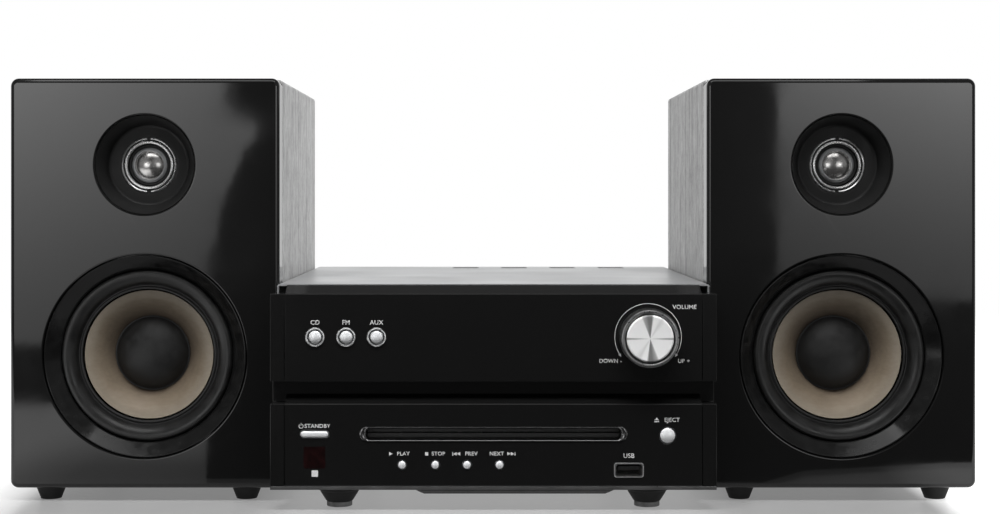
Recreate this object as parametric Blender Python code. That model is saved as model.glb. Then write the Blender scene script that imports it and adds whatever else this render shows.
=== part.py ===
"""Mini hifi system: a slim two-deck main unit between two bookshelf speakers.

Metres, +Z up. The front faces -Y, and +X is on the right of someone who looks at it.
The origin is the middle of the footprint, on the surface that the rubber feet stand on.
Sizes below are in millimetres, and MM turns them into metres as each mesh is made.
Main unit shapes are drawn as (x, depth behind the fascia, height). Speaker shapes are
drawn as (x from the speaker's middle, depth behind its front, height).
"""

import math

import bmesh
import bpy
from mathutils import Vector

MM = 0.001
GAP = 0.3  # clearance that touching pieces keep

# Main unit
UNIT_HALF_WIDTH = 114.0
FASCIA_Y = -110.5
UNIT_BOTTOM = 11.0
LIP_OUTLINE = [(-39.0, UNIT_BOTTOM + 0.5), (-35.5, 9.0), (57.2, 9.0), (61.0, UNIT_BOTTOM + 0.5)]
LIP_DEPTHS = (0.8, 10.0)
UNIT_FOOT_X = 80.0
UNIT_FOOT_DEPTHS = {"front": 18.5, "rear": 206.0}
FRAME_TOP = 111.1
FRAME_DEPTH = 14.0
WEB_FRONT = 11.0
FRAME_WINDOW_HALF = 100.0
FRAME_WINDOWS = [(16.0, 52.0), (70.0, 108.0)]
PANEL_HALF_WIDTH = 106.5
PANEL_WALL = 3.0
LOWER_PANEL_BOTTOM = 13.0
LOWER_PANEL_TOP = 54.9
UPPER_PANEL_BOTTOM = 66.4
UPPER_PANEL_TOP = FRAME_TOP
PANEL_BEVEL_DEPTH = 10.7
PANEL_BEVEL_RISE = 4.1
PANEL_BEVEL_WALL = 2.3
COVER_HALF_WIDTH = 112.0
COVER_TOP = 115.5
COVER_WALL = 1.0
COVER_BACK = 225.0
REAR_PANEL_FRONT = 222.5
REAR_PANEL_BACK = 224.0
TRAY_TOP = 24.0
TRAY_WALL = 1.2
VENT_XS = (-16.4, 14.2, 44.8, 75.5)
VENT_DEPTHS = (205.0, 211.0, 217.0)
VENT_HALF = (8.0, 1.3)

# Controls, as (x, height, radius of the cap)
ROUND_BUTTONS = {
    "cd_button": (-91.0, 89.1, 3.65),
    "fm_button": (-75.2, 89.1, 3.65),
    "aux_button": (-59.6, 89.1, 3.65),
    "play_button": (-46.6, 23.9, 2.35),
    "stop_button": (-29.7, 23.9, 2.35),
    "previous_button": (-13.5, 23.9, 2.35),
    "next_button": (3.1, 23.9, 2.35),
    "eject_button": (88.9, 38.8, 4.3),
}
STANDBY_AT = (-91.3, 39.5)
STANDBY_SIZE = (15.0, 3.9)
BUTTON_PROUD = 1.1
BUTTON_FLANGE = (3.4, 4.4)
BUTTON_FLANGE_LIP = 1.2
BUTTON_STEM_RADIUS = 1.5
BUTTON_STEM_END = 12.6
SWITCH_FRONT = 13.8
KNOB_AT = (78.9, 89.1)
KNOB_STEM_RADIUS = 3.0
SLOT_HEIGHT = 39.7
SLOT_OUTER = (136.5, 7.7)
SLOT_INNER = (129.5, 4.9)
USB_AT = (69.1, 21.2)
USB_OUTER = (16.3, 8.9)
USB_INNER = (12.5, 5.1)
BOARD_FRONT = 16.0
BOARD_BACK = 17.6

# Back of the main unit, as (x, height)
INLET_AT = (-85.0, 32.0)
INLET_PIN_SPACING = 8.6
PHONO_SOCKETS = [(20.0, 28.0), (34.0, 28.0), (20.0, 42.0), (34.0, 42.0)]
PHONO_RADIUS = 4.15
PHONO_BORE = 1.6
ANTENNA_AT = (58.0, 35.0)
ANTENNA_RADIUS = 4.75
ANTENNA_BORE = 3.6
SOCKET_END = 233.0

# Disc mechanism
DISC_FRAME_HALF = 70.0
DISC_FRAME_DEPTHS = (20.0, 160.0)
DISC_FRAME_HEIGHTS = (26.0, 46.0)
DISC_FRAME_WALL = 1.5
ROLLER_AT = (27.0, 32.4)
TURNTABLE_DEPTH = 92.0
SLED_DEPTHS = (108.0, 126.0)
RAIL_AT = (17.5, 19.5)

# Speakers
SPEAKER_X = 183.6
SPEAKER_Y = FASCIA_Y + 28.0
SPEAKER_WIDTH = 142.0
SPEAKER_DEPTH = 190.0
SPEAKER_BOTTOM = 7.0
SPEAKER_TOP = 223.1
BAFFLE_DEPTH = 14.0
BAFFLE_CORNER = 4.2
BAFFLE_ROUND = 2.6
CABINET_WALL = 12.0
WOOFER_HEIGHT = 76.4
WOOFER_REBATE = 8.3
TWEETER_HEIGHT = 177.5
CUP_HEIGHT = 60.0
CUP_SIZE = (54.0, 44.0)
SPEAKER_FOOT_X = 52.2
SPEAKER_FOOT_DEPTHS = {"front": 12.5, "rear": 166.0}

# Facets in a full turn
WOOFER_FACETS = 24
TWEETER_FACETS = 20
KNOB_FACETS = 24
BUTTON_FACETS = 12
FOOT_FACETS = 12


# ---------------------------------------------------------------- shape helpers


def oriented(across, up, along, axis):
    """The point that lies across and up from an axis, and so far along it."""
    return {
        "X": (along, across, up),
        "Y": (across, along, up),
        "Z": (across, up, along),
    }[axis]


def turned(profile, facets, axis, at=(0.0, 0.0, 0.0)):
    """A turned solid, from a closed list of (radius, along) corners."""
    bm = bmesh.new()
    poles = {
        number: bm.verts.new(oriented(0.0, 0.0, along, axis))
        for number, (radius, along) in enumerate(profile)
        if radius == 0.0
    }
    rings = []
    for step in range(facets):
        angle = math.tau * step / facets
        rings.append([
            poles.get(number)
            or bm.verts.new(oriented(radius * math.cos(angle), radius * math.sin(angle), along, axis))
            for number, (radius, along) in enumerate(profile)
        ])
    for here, there in zip(rings, rings[1:] + rings[:1]):
        for number in range(len(profile)):
            following = (number + 1) % len(profile)
            corners = [here[number], here[following], there[following], there[number]]
            corners = list(dict.fromkeys(corners))
            if len(corners) > 2:
                bm.faces.new(corners)
    bmesh.ops.translate(bm, vec=at, verts=bm.verts)
    return bm


def lofted(sections, axis):
    """A solid through (outline, along) sections that have equally many points."""
    bm = bmesh.new()
    loops = [
        [bm.verts.new(oriented(across, up, along, axis)) for across, up in outline]
        for outline, along in sections
    ]
    for near, far in zip(loops, loops[1:]):
        for number in range(len(near)):
            following = (number + 1) % len(near)
            bm.faces.new((near[number], near[following], far[following], far[number]))
    bm.faces.new(loops[0])
    bm.faces.new(reversed(loops[-1]))
    return bm


def prism(outline, low, high, axis):
    """An outline drawn out along an axis."""
    return lofted([(outline, low), (outline, high)], axis)


def block(xs, depths, heights):
    """A rectangular block between pairs of coordinates."""
    (left, right), (low, high) = xs, heights
    outline = [(left, low), (right, low), (right, high), (left, high)]
    return prism(outline, depths[0], depths[1], "Y")


def rounded_rectangle(size, radius, centre=(0.0, 0.0), steps=4):
    """A rectangle's outline with its corners rounded."""
    outline = []
    for quarter, (right, up) in enumerate([(1, 1), (-1, 1), (-1, -1), (1, -1)]):
        corner_x = centre[0] + right * (size[0] / 2 - radius)
        corner_z = centre[1] + up * (size[1] / 2 - radius)
        for step in range(steps + 1):
            angle = math.pi / 2 * (quarter + step / steps)
            outline.append((corner_x + radius * math.cos(angle), corner_z + radius * math.sin(angle)))
    return outline


def oblong(size, centre=(0.0, 0.0), steps=4):
    """A slot's outline, with round ends."""
    return rounded_rectangle(size, 0.49 * size[1], centre, steps)


def dome(rim_radius, rim_along, apex_along, steps):
    """Profile points of a spherical cap, from its apex to its rim."""
    rise = rim_along - apex_along
    sphere = (rim_radius ** 2 + rise ** 2) / (2 * rise)
    widest = math.asin(rim_radius / sphere)
    points = []
    for step in range(steps + 1):
        angle = widest * step / steps
        points.append((sphere * math.sin(angle), apex_along + sphere * (1 - math.cos(angle))))
    return points


def together(shapes):
    """Several separate shapes in one mesh, for a guide."""
    bm = bmesh.new()
    for shape in shapes:
        mesh = bpy.data.meshes.new("part_of_guide")
        bmesh.ops.recalc_face_normals(shape, faces=shape.faces)
        shape.to_mesh(mesh)
        shape.free()
        bm.from_mesh(mesh)
        bpy.data.meshes.remove(mesh)
    return bm


# --------------------------------------------------------------- object helpers


def finish(name, colour, roughness, metallic=0.0):
    """A material with one colour."""
    made = bpy.data.materials.new(name)
    made.use_nodes = True
    made.diffuse_color = (*colour, 1.0)
    shader = made.node_tree.nodes["Principled BSDF"]
    shader.inputs["Base Color"].default_value = (*colour, 1.0)
    shader.inputs["Roughness"].default_value = roughness
    shader.inputs["Metallic"].default_value = metallic
    return made


def place(name, at, parent=None):
    """An empty that holds the pieces of one assembly."""
    empty = bpy.data.objects.new(name, None)
    empty.location = Vector(at) * MM
    empty.parent = parent
    bpy.context.scene.collection.objects.link(empty)
    return empty


def piece(name, shape, material, parent, at=(0.0, 0.0, 0.0)):
    """An object in metres from a shape in millimetres."""
    bmesh.ops.recalc_face_normals(shape, faces=shape.faces)
    bmesh.ops.scale(shape, vec=(MM, MM, MM), verts=shape.verts)
    mesh = bpy.data.meshes.new(name)
    shape.to_mesh(mesh)
    shape.free()
    mesh.shade_smooth()
    mesh.set_sharp_from_angle(angle=math.radians(35))
    if material:
        mesh.materials.append(material)
    made = bpy.data.objects.new(name, mesh)
    made.location = Vector(at) * MM
    made.parent = parent
    bpy.context.scene.collection.objects.link(made)
    return made


def boolean(target, shape, operation):
    """Joins a hidden guide to an object, or takes it away. It is drawn about the object's origin."""
    guide = piece(f"{target.name}_guide_{len(target.modifiers)}", shape, None, target)
    guide.hide_render = True
    guide.display_type = "WIRE"
    modifier = target.modifiers.new(operation.title(), "BOOLEAN")
    modifier.operation = operation
    modifier.solver = "EXACT"
    modifier.object = guide


def cut(target, *shapes):
    for shape in shapes:
        boolean(target, shape, "DIFFERENCE")


def weld(target, *shapes):
    for shape in shapes:
        boolean(target, shape, "UNION")


# -------------------------------------------------------------------- materials


def make_finishes():
    return {
        "gloss_black": finish("gloss_black", (0.010, 0.010, 0.011), 0.08),
        "moulded_black": finish("moulded_black", (0.018, 0.018, 0.019), 0.45),
        "silver_steel": finish("silver_steel", (0.55, 0.56, 0.58), 0.35, 1.0),
        "chrome": finish("chrome", (0.80, 0.80, 0.82), 0.12, 1.0),
        "spun_silver": finish("spun_silver", (0.72, 0.72, 0.74), 0.28, 1.0),
        "steel": finish("steel", (0.40, 0.41, 0.43), 0.45, 1.0),
        "board_green": finish("board_green", (0.03, 0.13, 0.05), 0.50),
        "rubber": finish("rubber", (0.015, 0.015, 0.016), 0.75),
        "wood_vinyl": finish("wood_vinyl", (0.16, 0.16, 0.17), 0.50),
        "tan_cone": finish("tan_cone", (0.36, 0.28, 0.20), 0.65),
        "silver_dome": finish("silver_dome", (0.35, 0.36, 0.38), 0.20, 1.0),
        "aluminium": finish("aluminium", (0.62, 0.63, 0.65), 0.40, 1.0),
    }


# -------------------------------------------------------------------- main unit


def build_front_frame(unit, finishes):
    """The moulded frame that carries both fascia panels, with a channel between and a lip below."""
    frame = piece(
        "front_frame",
        block((-UNIT_HALF_WIDTH, UNIT_HALF_WIDTH), (GAP, FRAME_DEPTH), (UNIT_BOTTOM, FRAME_TOP)),
        finishes["gloss_black"],
        unit,
    )
    pocket = PANEL_HALF_WIDTH + GAP
    beyond = UNIT_HALF_WIDTH + 6.0
    above = FRAME_TOP + 9.0
    right = [
        (pocket, LOWER_PANEL_BOTTOM - GAP),
        (pocket, LOWER_PANEL_TOP),
        (beyond, LOWER_PANEL_TOP),
        (beyond, UPPER_PANEL_BOTTOM),
        (pocket, UPPER_PANEL_BOTTOM),
        (pocket, above),
    ]
    left = [(-x, height) for x, height in reversed(right)]
    cut(frame, prism(right + left, -1.0, WEB_FRONT, "Y"))
    window = (-FRAME_WINDOW_HALF, FRAME_WINDOW_HALF)
    through = (5.0, FRAME_DEPTH + 6.0)
    cut(frame, together([block(window, through, heights) for heights in FRAME_WINDOWS]))
    weld(frame, prism(LIP_OUTLINE, *LIP_DEPTHS, "Y"))


def build_panel(name, bottom, top, unit, finishes):
    """A gloss fascia panel whose top edge slopes back."""
    outline = [
        (0.0, bottom),
        (0.0, top),
        (PANEL_BEVEL_DEPTH, top + PANEL_BEVEL_RISE),
        (PANEL_BEVEL_DEPTH, top + PANEL_BEVEL_RISE - PANEL_BEVEL_WALL),
        (PANEL_WALL, top - PANEL_BEVEL_WALL + 0.8),
        (PANEL_WALL, bottom),
    ]
    shape = prism(outline, -PANEL_HALF_WIDTH, PANEL_HALF_WIDTH, "X")
    return piece(name, shape, finishes["gloss_black"], unit)


def button_holes(lowest, highest):
    """Cutters for the round buttons whose height lies between two heights."""
    return [
        turned(disc_profile(radius + GAP, -1.0, 6.0), BUTTON_FACETS, "Y", (x, 0.0, height))
        for x, height, radius in ROUND_BUTTONS.values()
        if lowest < height < highest
    ]


def disc_profile(radius, low, high):
    """The profile of a plain round bar."""
    return [(0.0, low), (radius, low), (radius, high), (0.0, high)]


def build_fascia(unit, finishes):
    build_front_frame(unit, finishes)
    through = (-1.0, 6.0)

    upper = build_panel("upper_panel", UPPER_PANEL_BOTTOM, UPPER_PANEL_TOP, unit, finishes)
    stem = disc_profile(KNOB_STEM_RADIUS + 1.0, *through)
    stem_hole = turned(stem, 16, "Y", (KNOB_AT[0], 0.0, KNOB_AT[1]))
    cut(upper, together(button_holes(UPPER_PANEL_BOTTOM, UPPER_PANEL_TOP) + [stem_hole]))

    lower = build_panel("lower_panel", LOWER_PANEL_BOTTOM, LOWER_PANEL_TOP, unit, finishes)
    slot_hole = oblong([side + 2 * GAP for side in SLOT_OUTER], (0.0, SLOT_HEIGHT))
    standby_hole = oblong([side + 2 * GAP for side in STANDBY_SIZE], STANDBY_AT)
    usb_hole = rounded_rectangle([side + 2 * GAP for side in USB_OUTER], 1.0, USB_AT, steps=1)
    openings = [prism(outline, *through, "Y") for outline in (slot_hole, standby_hole, usb_hole)]
    cut(lower, together(button_holes(LOWER_PANEL_BOTTOM, LOWER_PANEL_TOP) + openings))

    bezel = piece(
        "slot_bezel",
        prism(oblong(SLOT_OUTER), -0.6, 8.0, "Y"),
        finishes["chrome"],
        unit,
        (0.0, 0.0, SLOT_HEIGHT),
    )
    cut(bezel, prism(oblong(SLOT_INNER), -2.0, 10.0, "Y"))

    half_x, half_z = (side / 2 for side in USB_INNER)
    port = piece(
        "usb_port",
        prism(rounded_rectangle(USB_OUTER, 0.7, steps=1), -0.5, FRAME_DEPTH, "Y"),
        finishes["steel"],
        unit,
        (USB_AT[0], 0.0, USB_AT[1]),
    )
    cut(port, block((-half_x, half_x), (-2.0, 10.0), (-half_z, half_z)))
    weld(port, block((-5.5, 5.5), (1.5, 11.0), (-0.1, 1.8)))


def build_buttons(unit, finishes):
    """Caps with a flange behind the panel and a stem that reaches the switch."""
    flange_front, flange_back = BUTTON_FLANGE
    for name, (x, height, radius) in ROUND_BUTTONS.items():
        profile = [
            (0.0, -BUTTON_PROUD),
            (radius - 0.4, -BUTTON_PROUD),
            (radius, -BUTTON_PROUD + 0.4),
            (radius, flange_front),
            (radius + BUTTON_FLANGE_LIP, flange_front),
            (radius + BUTTON_FLANGE_LIP, flange_back),
            (BUTTON_STEM_RADIUS, flange_back),
            (BUTTON_STEM_RADIUS, BUTTON_STEM_END),
            (0.0, BUTTON_STEM_END),
        ]
        piece(name, turned(profile, BUTTON_FACETS, "Y"), finishes["spun_silver"], unit, (x, 0.0, height))

    cap = oblong(STANDBY_SIZE)
    flange = oblong([side + 2 * BUTTON_FLANGE_LIP for side in STANDBY_SIZE])
    stem = oblong((2 * BUTTON_STEM_RADIUS, 2 * BUTTON_STEM_RADIUS))
    sections = [
        (cap, -BUTTON_PROUD),
        (cap, flange_front),
        (flange, flange_front),
        (flange, flange_back),
        (stem, flange_back),
        (stem, BUTTON_STEM_END),
    ]
    at = (STANDBY_AT[0], 0.0, STANDBY_AT[1])
    piece("standby_button", lofted(sections, "Y"), finishes["spun_silver"], unit, at)

    knob = [
        (0.0, -12.0),
        (12.0, -12.0),
        (12.0, -11.2),
        (13.2, -11.2),
        (13.2, -12.0),
        (14.4, -12.0),
        (14.9, -11.5),
        (14.9, -0.6),
        (KNOB_STEM_RADIUS, -0.6),
        (KNOB_STEM_RADIUS, 13.8),
        (0.0, 13.8),
    ]
    at = (KNOB_AT[0], 0.0, KNOB_AT[1])
    piece("volume_knob", turned(knob, KNOB_FACETS, "Y"), finishes["spun_silver"], unit, at)


def build_control_board(unit, finishes):
    """The board behind the fascia, with its switches, encoder and display module."""
    board = piece(
        "control_board",
        block((-98.0, 98.0), (BOARD_FRONT, BOARD_BACK), (16.0, 110.0)),
        finishes["board_green"],
        unit,
    )
    cut(board, block((-66.0, 66.0), (BOARD_FRONT - 2.0, BOARD_BACK + 2.0), (36.5, 43.0)))
    seated = BOARD_FRONT + 0.8
    places = [(x, height) for x, height, _ in ROUND_BUTTONS.values()] + [STANDBY_AT]
    switches = [
        block((x - 2.4, x + 2.4), (SWITCH_FRONT, seated), (height - 2.4, height + 2.4))
        for x, height in places
    ]
    display = block((-40.0, 40.0), (6.0, seated), (78.0, 102.0))
    knob_x, knob_z = KNOB_AT
    encoder = block((knob_x - 6.0, knob_x + 6.0), (9.0, seated), (knob_z - 6.0, knob_z + 6.0))
    weld(board, together(switches + [display, encoder]))
    bore = turned(disc_profile(KNOB_STEM_RADIUS + 0.4, 5.0, 14.6), 12, "Y", (knob_x, 0.0, knob_z))
    cut(board, bore)


def build_case(unit, finishes):
    """Top cover, tray, rear panel and feet."""
    inner = COVER_HALF_WIDTH - COVER_WALL
    cover = piece(
        "top_cover",
        block((-COVER_HALF_WIDTH, COVER_HALF_WIDTH), (11.3, COVER_BACK), (12.5, COVER_TOP)),
        finishes["silver_steel"],
        unit,
    )
    cut(
        cover,
        block((-inner, inner), (5.0, COVER_BACK + 5.0), (5.0, COVER_TOP - COVER_WALL)),
        block((-inner - 9.0, inner + 9.0), (5.0, FRAME_DEPTH + GAP), (5.0, FRAME_TOP + 1.9)),
    )
    half_x, half_y = VENT_HALF
    vents = [
        block((x - half_x, x + half_x), (depth - half_y, depth + half_y), (COVER_TOP - 3.0, COVER_TOP + 3.0))
        for x in VENT_XS
        for depth in VENT_DEPTHS
    ]
    cut(cover, together(vents))

    half = inner - 0.6
    tray = piece(
        "chassis_tray",
        block((-half, half), (FRAME_DEPTH + 0.5, 222.0), (UNIT_BOTTOM, TRAY_TOP)),
        finishes["steel"],
        unit,
    )
    inside = half - TRAY_WALL
    cut(tray, block((-inside, inside), (5.0, 230.0), (UNIT_BOTTOM + TRAY_WALL, TRAY_TOP + 6.0)))

    rear = piece(
        "rear_panel",
        block((-half, half), (REAR_PANEL_FRONT, REAR_PANEL_BACK), (13.0, 114.0)),
        finishes["moulded_black"],
        unit,
    )
    through = (REAR_PANEL_FRONT - 3.0, REAR_PANEL_BACK + 3.0)
    holes = [
        turned(disc_profile(PHONO_RADIUS + 0.6, *through), 12, "Y", (x, 0.0, height))
        for x, height in PHONO_SOCKETS
    ]
    antenna = disc_profile(ANTENNA_RADIUS + 0.6, *through)
    holes.append(turned(antenna, 12, "Y", (ANTENNA_AT[0], 0.0, ANTENNA_AT[1])))
    inlet_x, inlet_z = INLET_AT
    holes.append(block((inlet_x - 12.4, inlet_x + 12.4), through, (inlet_z - 9.4, inlet_z + 9.4)))
    cut(rear, together(holes))

    foot = [
        (0.0, 0.0),
        (6.6, 0.0),
        (6.6, 2.6),
        (7.1, 2.6),
        (11.5, UNIT_BOTTOM - GAP),
        (0.0, UNIT_BOTTOM - GAP),
    ]
    for row, depth in UNIT_FOOT_DEPTHS.items():
        for side, x in (("left", -UNIT_FOOT_X), ("right", UNIT_FOOT_X)):
            shape = turned(foot, 16, "Z")
            piece(f"unit_foot_{row}_{side}", shape, finishes["rubber"], unit, (x, depth, 0.0))


def build_power(unit, finishes):
    """Boards, transformer, heat sink and the sockets at the back."""
    board = piece(
        "main_board",
        block((-28.0, 100.0), (100.0, 215.0), (19.0, 20.6)),
        finishes["board_green"],
        unit,
    )
    capacitor = disc_profile(7.0, 20.0, 48.0)
    weld(board, together([turned(capacitor, 12, "Z", (-14.0, depth, 0.0)) for depth in (176.0, 196.0)]))

    fin_pitch = 12.0
    outline = [(95.0, 198.0), (20.0, 198.0)]
    for fin in range(7):
        left = 20.0 + fin * fin_pitch
        outline += [(left, 168.0), (left + 3.0, 168.0), (left + 3.0, 193.0), (left + fin_pitch, 193.0)]
    piece("heat_sink", prism(outline[:-1], 24.0, 80.0, "Z"), finishes["aluminium"], unit)

    core = piece(
        "transformer",
        block((-93.0, -37.0), (174.0, 196.0), (14.0, 60.0)),
        finishes["steel"],
        unit,
    )
    weld(core, block((-82.0, -48.0), (163.0, 207.0), (20.0, 54.0)))

    inlet_x, inlet_z = INLET_AT
    inlet = piece(
        "mains_inlet",
        block((-12.0, 12.0), (211.0, 225.0), (-9.0, 9.0)),
        finishes["moulded_black"],
        unit,
        (inlet_x, 0.0, inlet_z),
    )
    weld(inlet, block((-15.0, 15.0), (REAR_PANEL_BACK + GAP, 226.5), (-11.0, 11.0)))
    cut(inlet, prism(rounded_rectangle((18.0, 9.2), 4.0), 213.0, 230.0, "Y"))
    pin = disc_profile(1.2, 212.0, 224.0)
    pins = [turned(pin, 10, "Y", (side * INLET_PIN_SPACING / 2, 0.0, 0.0)) for side in (-1, 1)]
    weld(inlet, together(pins))

    sockets = piece(
        "socket_block",
        block((12.0, 70.0), (207.0, 221.8), (22.0, 49.0)),
        finishes["moulded_black"],
        unit,
    )
    barrels = [
        turned(disc_profile(PHONO_RADIUS, 221.0, SOCKET_END), 12, "Y", (x, 0.0, height))
        for x, height in PHONO_SOCKETS
    ]
    bores = [
        turned(disc_profile(PHONO_BORE, 224.0, SOCKET_END + 2.0), 8, "Y", (x, 0.0, height))
        for x, height in PHONO_SOCKETS
    ]
    at = (ANTENNA_AT[0], 0.0, ANTENNA_AT[1])
    barrels.append(turned(disc_profile(ANTENNA_RADIUS, 221.0, SOCKET_END), 12, "Y", at))
    bores.append(turned(disc_profile(ANTENNA_BORE, 224.0, SOCKET_END + 2.0), 12, "Y", at))
    weld(sockets, together(barrels))
    cut(sockets, together(bores))
    weld(sockets, turned(disc_profile(0.8, 223.0, SOCKET_END - 1.0), 8, "Y", at))


def build_disc_mechanism(unit, finishes):
    """The slot-loading mechanism: frame, feed roller, turntable and laser sled."""
    half, wall = DISC_FRAME_HALF, DISC_FRAME_WALL
    front, back = DISC_FRAME_DEPTHS
    low, high = DISC_FRAME_HEIGHTS
    frame = piece("disc_frame", block((-half, half), (front, back), (low, high)), finishes["steel"], unit)
    roller_depth, roller_height = ROLLER_AT
    cut(
        frame,
        block((-half + wall, half - wall), (front - 5.0, back + 5.0), (low + wall, high - wall)),
        block((-24.0, 24.0), (75.0, 150.0), (low - 3.0, low + wall + 1.0)),
        turned(disc_profile(2.2, -half - 5.0, half + 5.0), 12, "X", (0.0, roller_depth, roller_height)),
    )
    rails = [
        block(sorted((side * RAIL_AT[0], side * RAIL_AT[1])), (70.0, 155.0), (low + 0.4, 29.6))
        for side in (-1, 1)
    ]
    weld(frame, together(rails))

    axle, roll = half - 0.8, 60.0
    profile = [
        (0.0, -axle),
        (1.5, -axle),
        (1.5, -roll),
        (4.0, -roll),
        (4.0, roll),
        (1.5, roll),
        (1.5, axle),
        (0.0, axle),
    ]
    at = (0.0, roller_depth, roller_height)
    piece("disc_roller", turned(profile, 12, "X"), finishes["rubber"], unit, at)

    profile = [
        (0.0, 24.0),
        (6.0, 24.0),
        (6.0, 33.5),
        (14.0, 33.5),
        (14.0, 35.5),
        (7.4, 35.5),
        (7.4, 36.4),
        (6.4, 37.2),
        (0.0, 37.2),
    ]
    at = (0.0, TURNTABLE_DEPTH, 0.0)
    piece("disc_turntable", turned(profile, 16, "Z"), finishes["moulded_black"], unit, at)

    middle = sum(SLED_DEPTHS) / 2
    sled = piece(
        "laser_sled",
        block((-16.0, 16.0), [depth - middle for depth in SLED_DEPTHS], (29.0, 34.0)),
        finishes["moulded_black"],
        unit,
        (0.0, middle, 0.0),
    )
    weld(sled, turned([(0.0, 33.0), (4.2, 33.0), (4.2, 35.4), (2.4, 36.5), (0.0, 36.5)], 12, "Z"))


# --------------------------------------------------------------------- speakers


def build_baffle(side, parent, finishes):
    """The lacquered front board, with its front edge rounded over."""
    middle = (SPEAKER_BOTTOM + SPEAKER_TOP) / 2
    height = SPEAKER_TOP - SPEAKER_BOTTOM
    sections = []
    for step in range(4):
        angle = math.pi / 2 * step / 3
        inset = BAFFLE_ROUND * (1 - math.sin(angle))
        depth = BAFFLE_ROUND * (1 - math.cos(angle))
        size = (SPEAKER_WIDTH - 2 * inset, height - 2 * inset)
        sections.append((rounded_rectangle(size, BAFFLE_CORNER - inset, (0.0, middle)), depth))
    sections.append((sections[-1][0], BAFFLE_DEPTH))
    baffle = piece(f"{side}_baffle", lofted(sections, "Y"), finishes["gloss_black"], parent)

    woofer = [
        (0.0, -1.0),
        (53.7, -1.0),
        (53.7, WOOFER_REBATE),
        (48.5, WOOFER_REBATE),
        (48.5, 16.0),
        (0.0, 16.0),
    ]
    tweeter = [(0.0, -1.0), (27.0, -1.0), (21.88, 11.8), (32.5, 11.8), (32.5, 16.0), (0.0, 16.0)]
    cut(
        baffle,
        turned(woofer, WOOFER_FACETS, "Y", (0.0, 0.0, WOOFER_HEIGHT)),
        turned(tweeter, TWEETER_FACETS, "Y", (0.0, 0.0, TWEETER_HEIGHT)),
    )


def build_cabinet(side, parent, finishes):
    """The vinyl-wrapped box behind the baffle, its terminal cup and its feet."""
    middle = (SPEAKER_BOTTOM + SPEAKER_TOP) / 2
    size = (SPEAKER_WIDTH, SPEAKER_TOP - SPEAKER_BOTTOM)
    start = BAFFLE_DEPTH + GAP
    shape = prism(rounded_rectangle(size, 2.0, (0.0, middle), steps=2), start, SPEAKER_DEPTH, "Y")
    cabinet = piece(f"{side}_cabinet", shape, finishes["wood_vinyl"], parent)
    half = SPEAKER_WIDTH / 2 - CABINET_WALL
    inside = (SPEAKER_BOTTOM + CABINET_WALL, SPEAKER_TOP - CABINET_WALL)
    back = SPEAKER_DEPTH - CABINET_WALL
    hole_x, hole_z = CUP_SIZE[0] / 2 + 1.0, CUP_SIZE[1] / 2 + 1.0
    heights = (CUP_HEIGHT - hole_z, CUP_HEIGHT + hole_z)
    hole = block((-hole_x, hole_x), (back - 6.0, SPEAKER_DEPTH + 5.0), heights)
    cut(cabinet, block((-half, half), (start - 6.0, back), inside), hole)

    half_x, half_z = (length / 2 for length in CUP_SIZE)
    cup_floor = SPEAKER_DEPTH - 20.0
    cup_end = SPEAKER_DEPTH + 2.3
    cup = piece(
        f"{side}_terminal_cup",
        block((-half_x, half_x), (cup_floor, SPEAKER_DEPTH + 1.0), (-half_z, half_z)),
        finishes["moulded_black"],
        parent,
        (0.0, 0.0, CUP_HEIGHT),
    )
    flange = rounded_rectangle((CUP_SIZE[0] + 10.0, CUP_SIZE[1] + 10.0), 4.0, steps=2)
    weld(cup, prism(flange, SPEAKER_DEPTH + GAP, cup_end, "Y"))
    inner_x, inner_z = half_x - 2.0, half_z - 2.0
    cut(cup, block((-inner_x, inner_x), (cup_floor + 2.0, cup_end + 5.0), (-inner_z, inner_z)))
    weld(cup, turned(disc_profile(PHONO_RADIUS, cup_floor + 1.0, cup_floor + 17.0), 12, "Y"))
    cut(cup, turned(disc_profile(PHONO_BORE, cup_floor + 6.0, cup_floor + 20.0), 8, "Y"))

    foot = [(0.0, 0.0), (5.4, 0.0), (8.0, SPEAKER_BOTTOM - GAP), (0.0, SPEAKER_BOTTOM - GAP)]
    for row, depth in SPEAKER_FOOT_DEPTHS.items():
        for hand, x in (("left", -SPEAKER_FOOT_X), ("right", SPEAKER_FOOT_X)):
            name = f"{side}_foot_{row}_{hand}"
            piece(name, turned(foot, FOOT_FACETS, "Z"), finishes["rubber"], parent, (x, depth, 0.0))


def surround_profile(steps=6):
    """A half roll of rubber between a landing on the basket and one on the cone."""
    middle, outer_y, inner_y = 41.3, 7.6, 11.0
    front, back = [], []
    for step in range(steps + 1):
        angle = math.pi * step / steps
        lean = (outer_y + inner_y) / 2 + (outer_y - inner_y) / 2 * math.cos(angle)
        front.append((middle + 3.85 * math.cos(angle), lean - 3.0 * math.sin(angle)))
        back.append((middle + 3.05 * math.cos(angle), lean + 0.8 - 3.0 * math.sin(angle)))
    front = [(45.3, outer_y)] + front + [(35.0, inner_y)]
    back = [(45.3, outer_y + 0.8)] + back + [(35.0, inner_y + 0.8)]
    return front + back[::-1]


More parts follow.
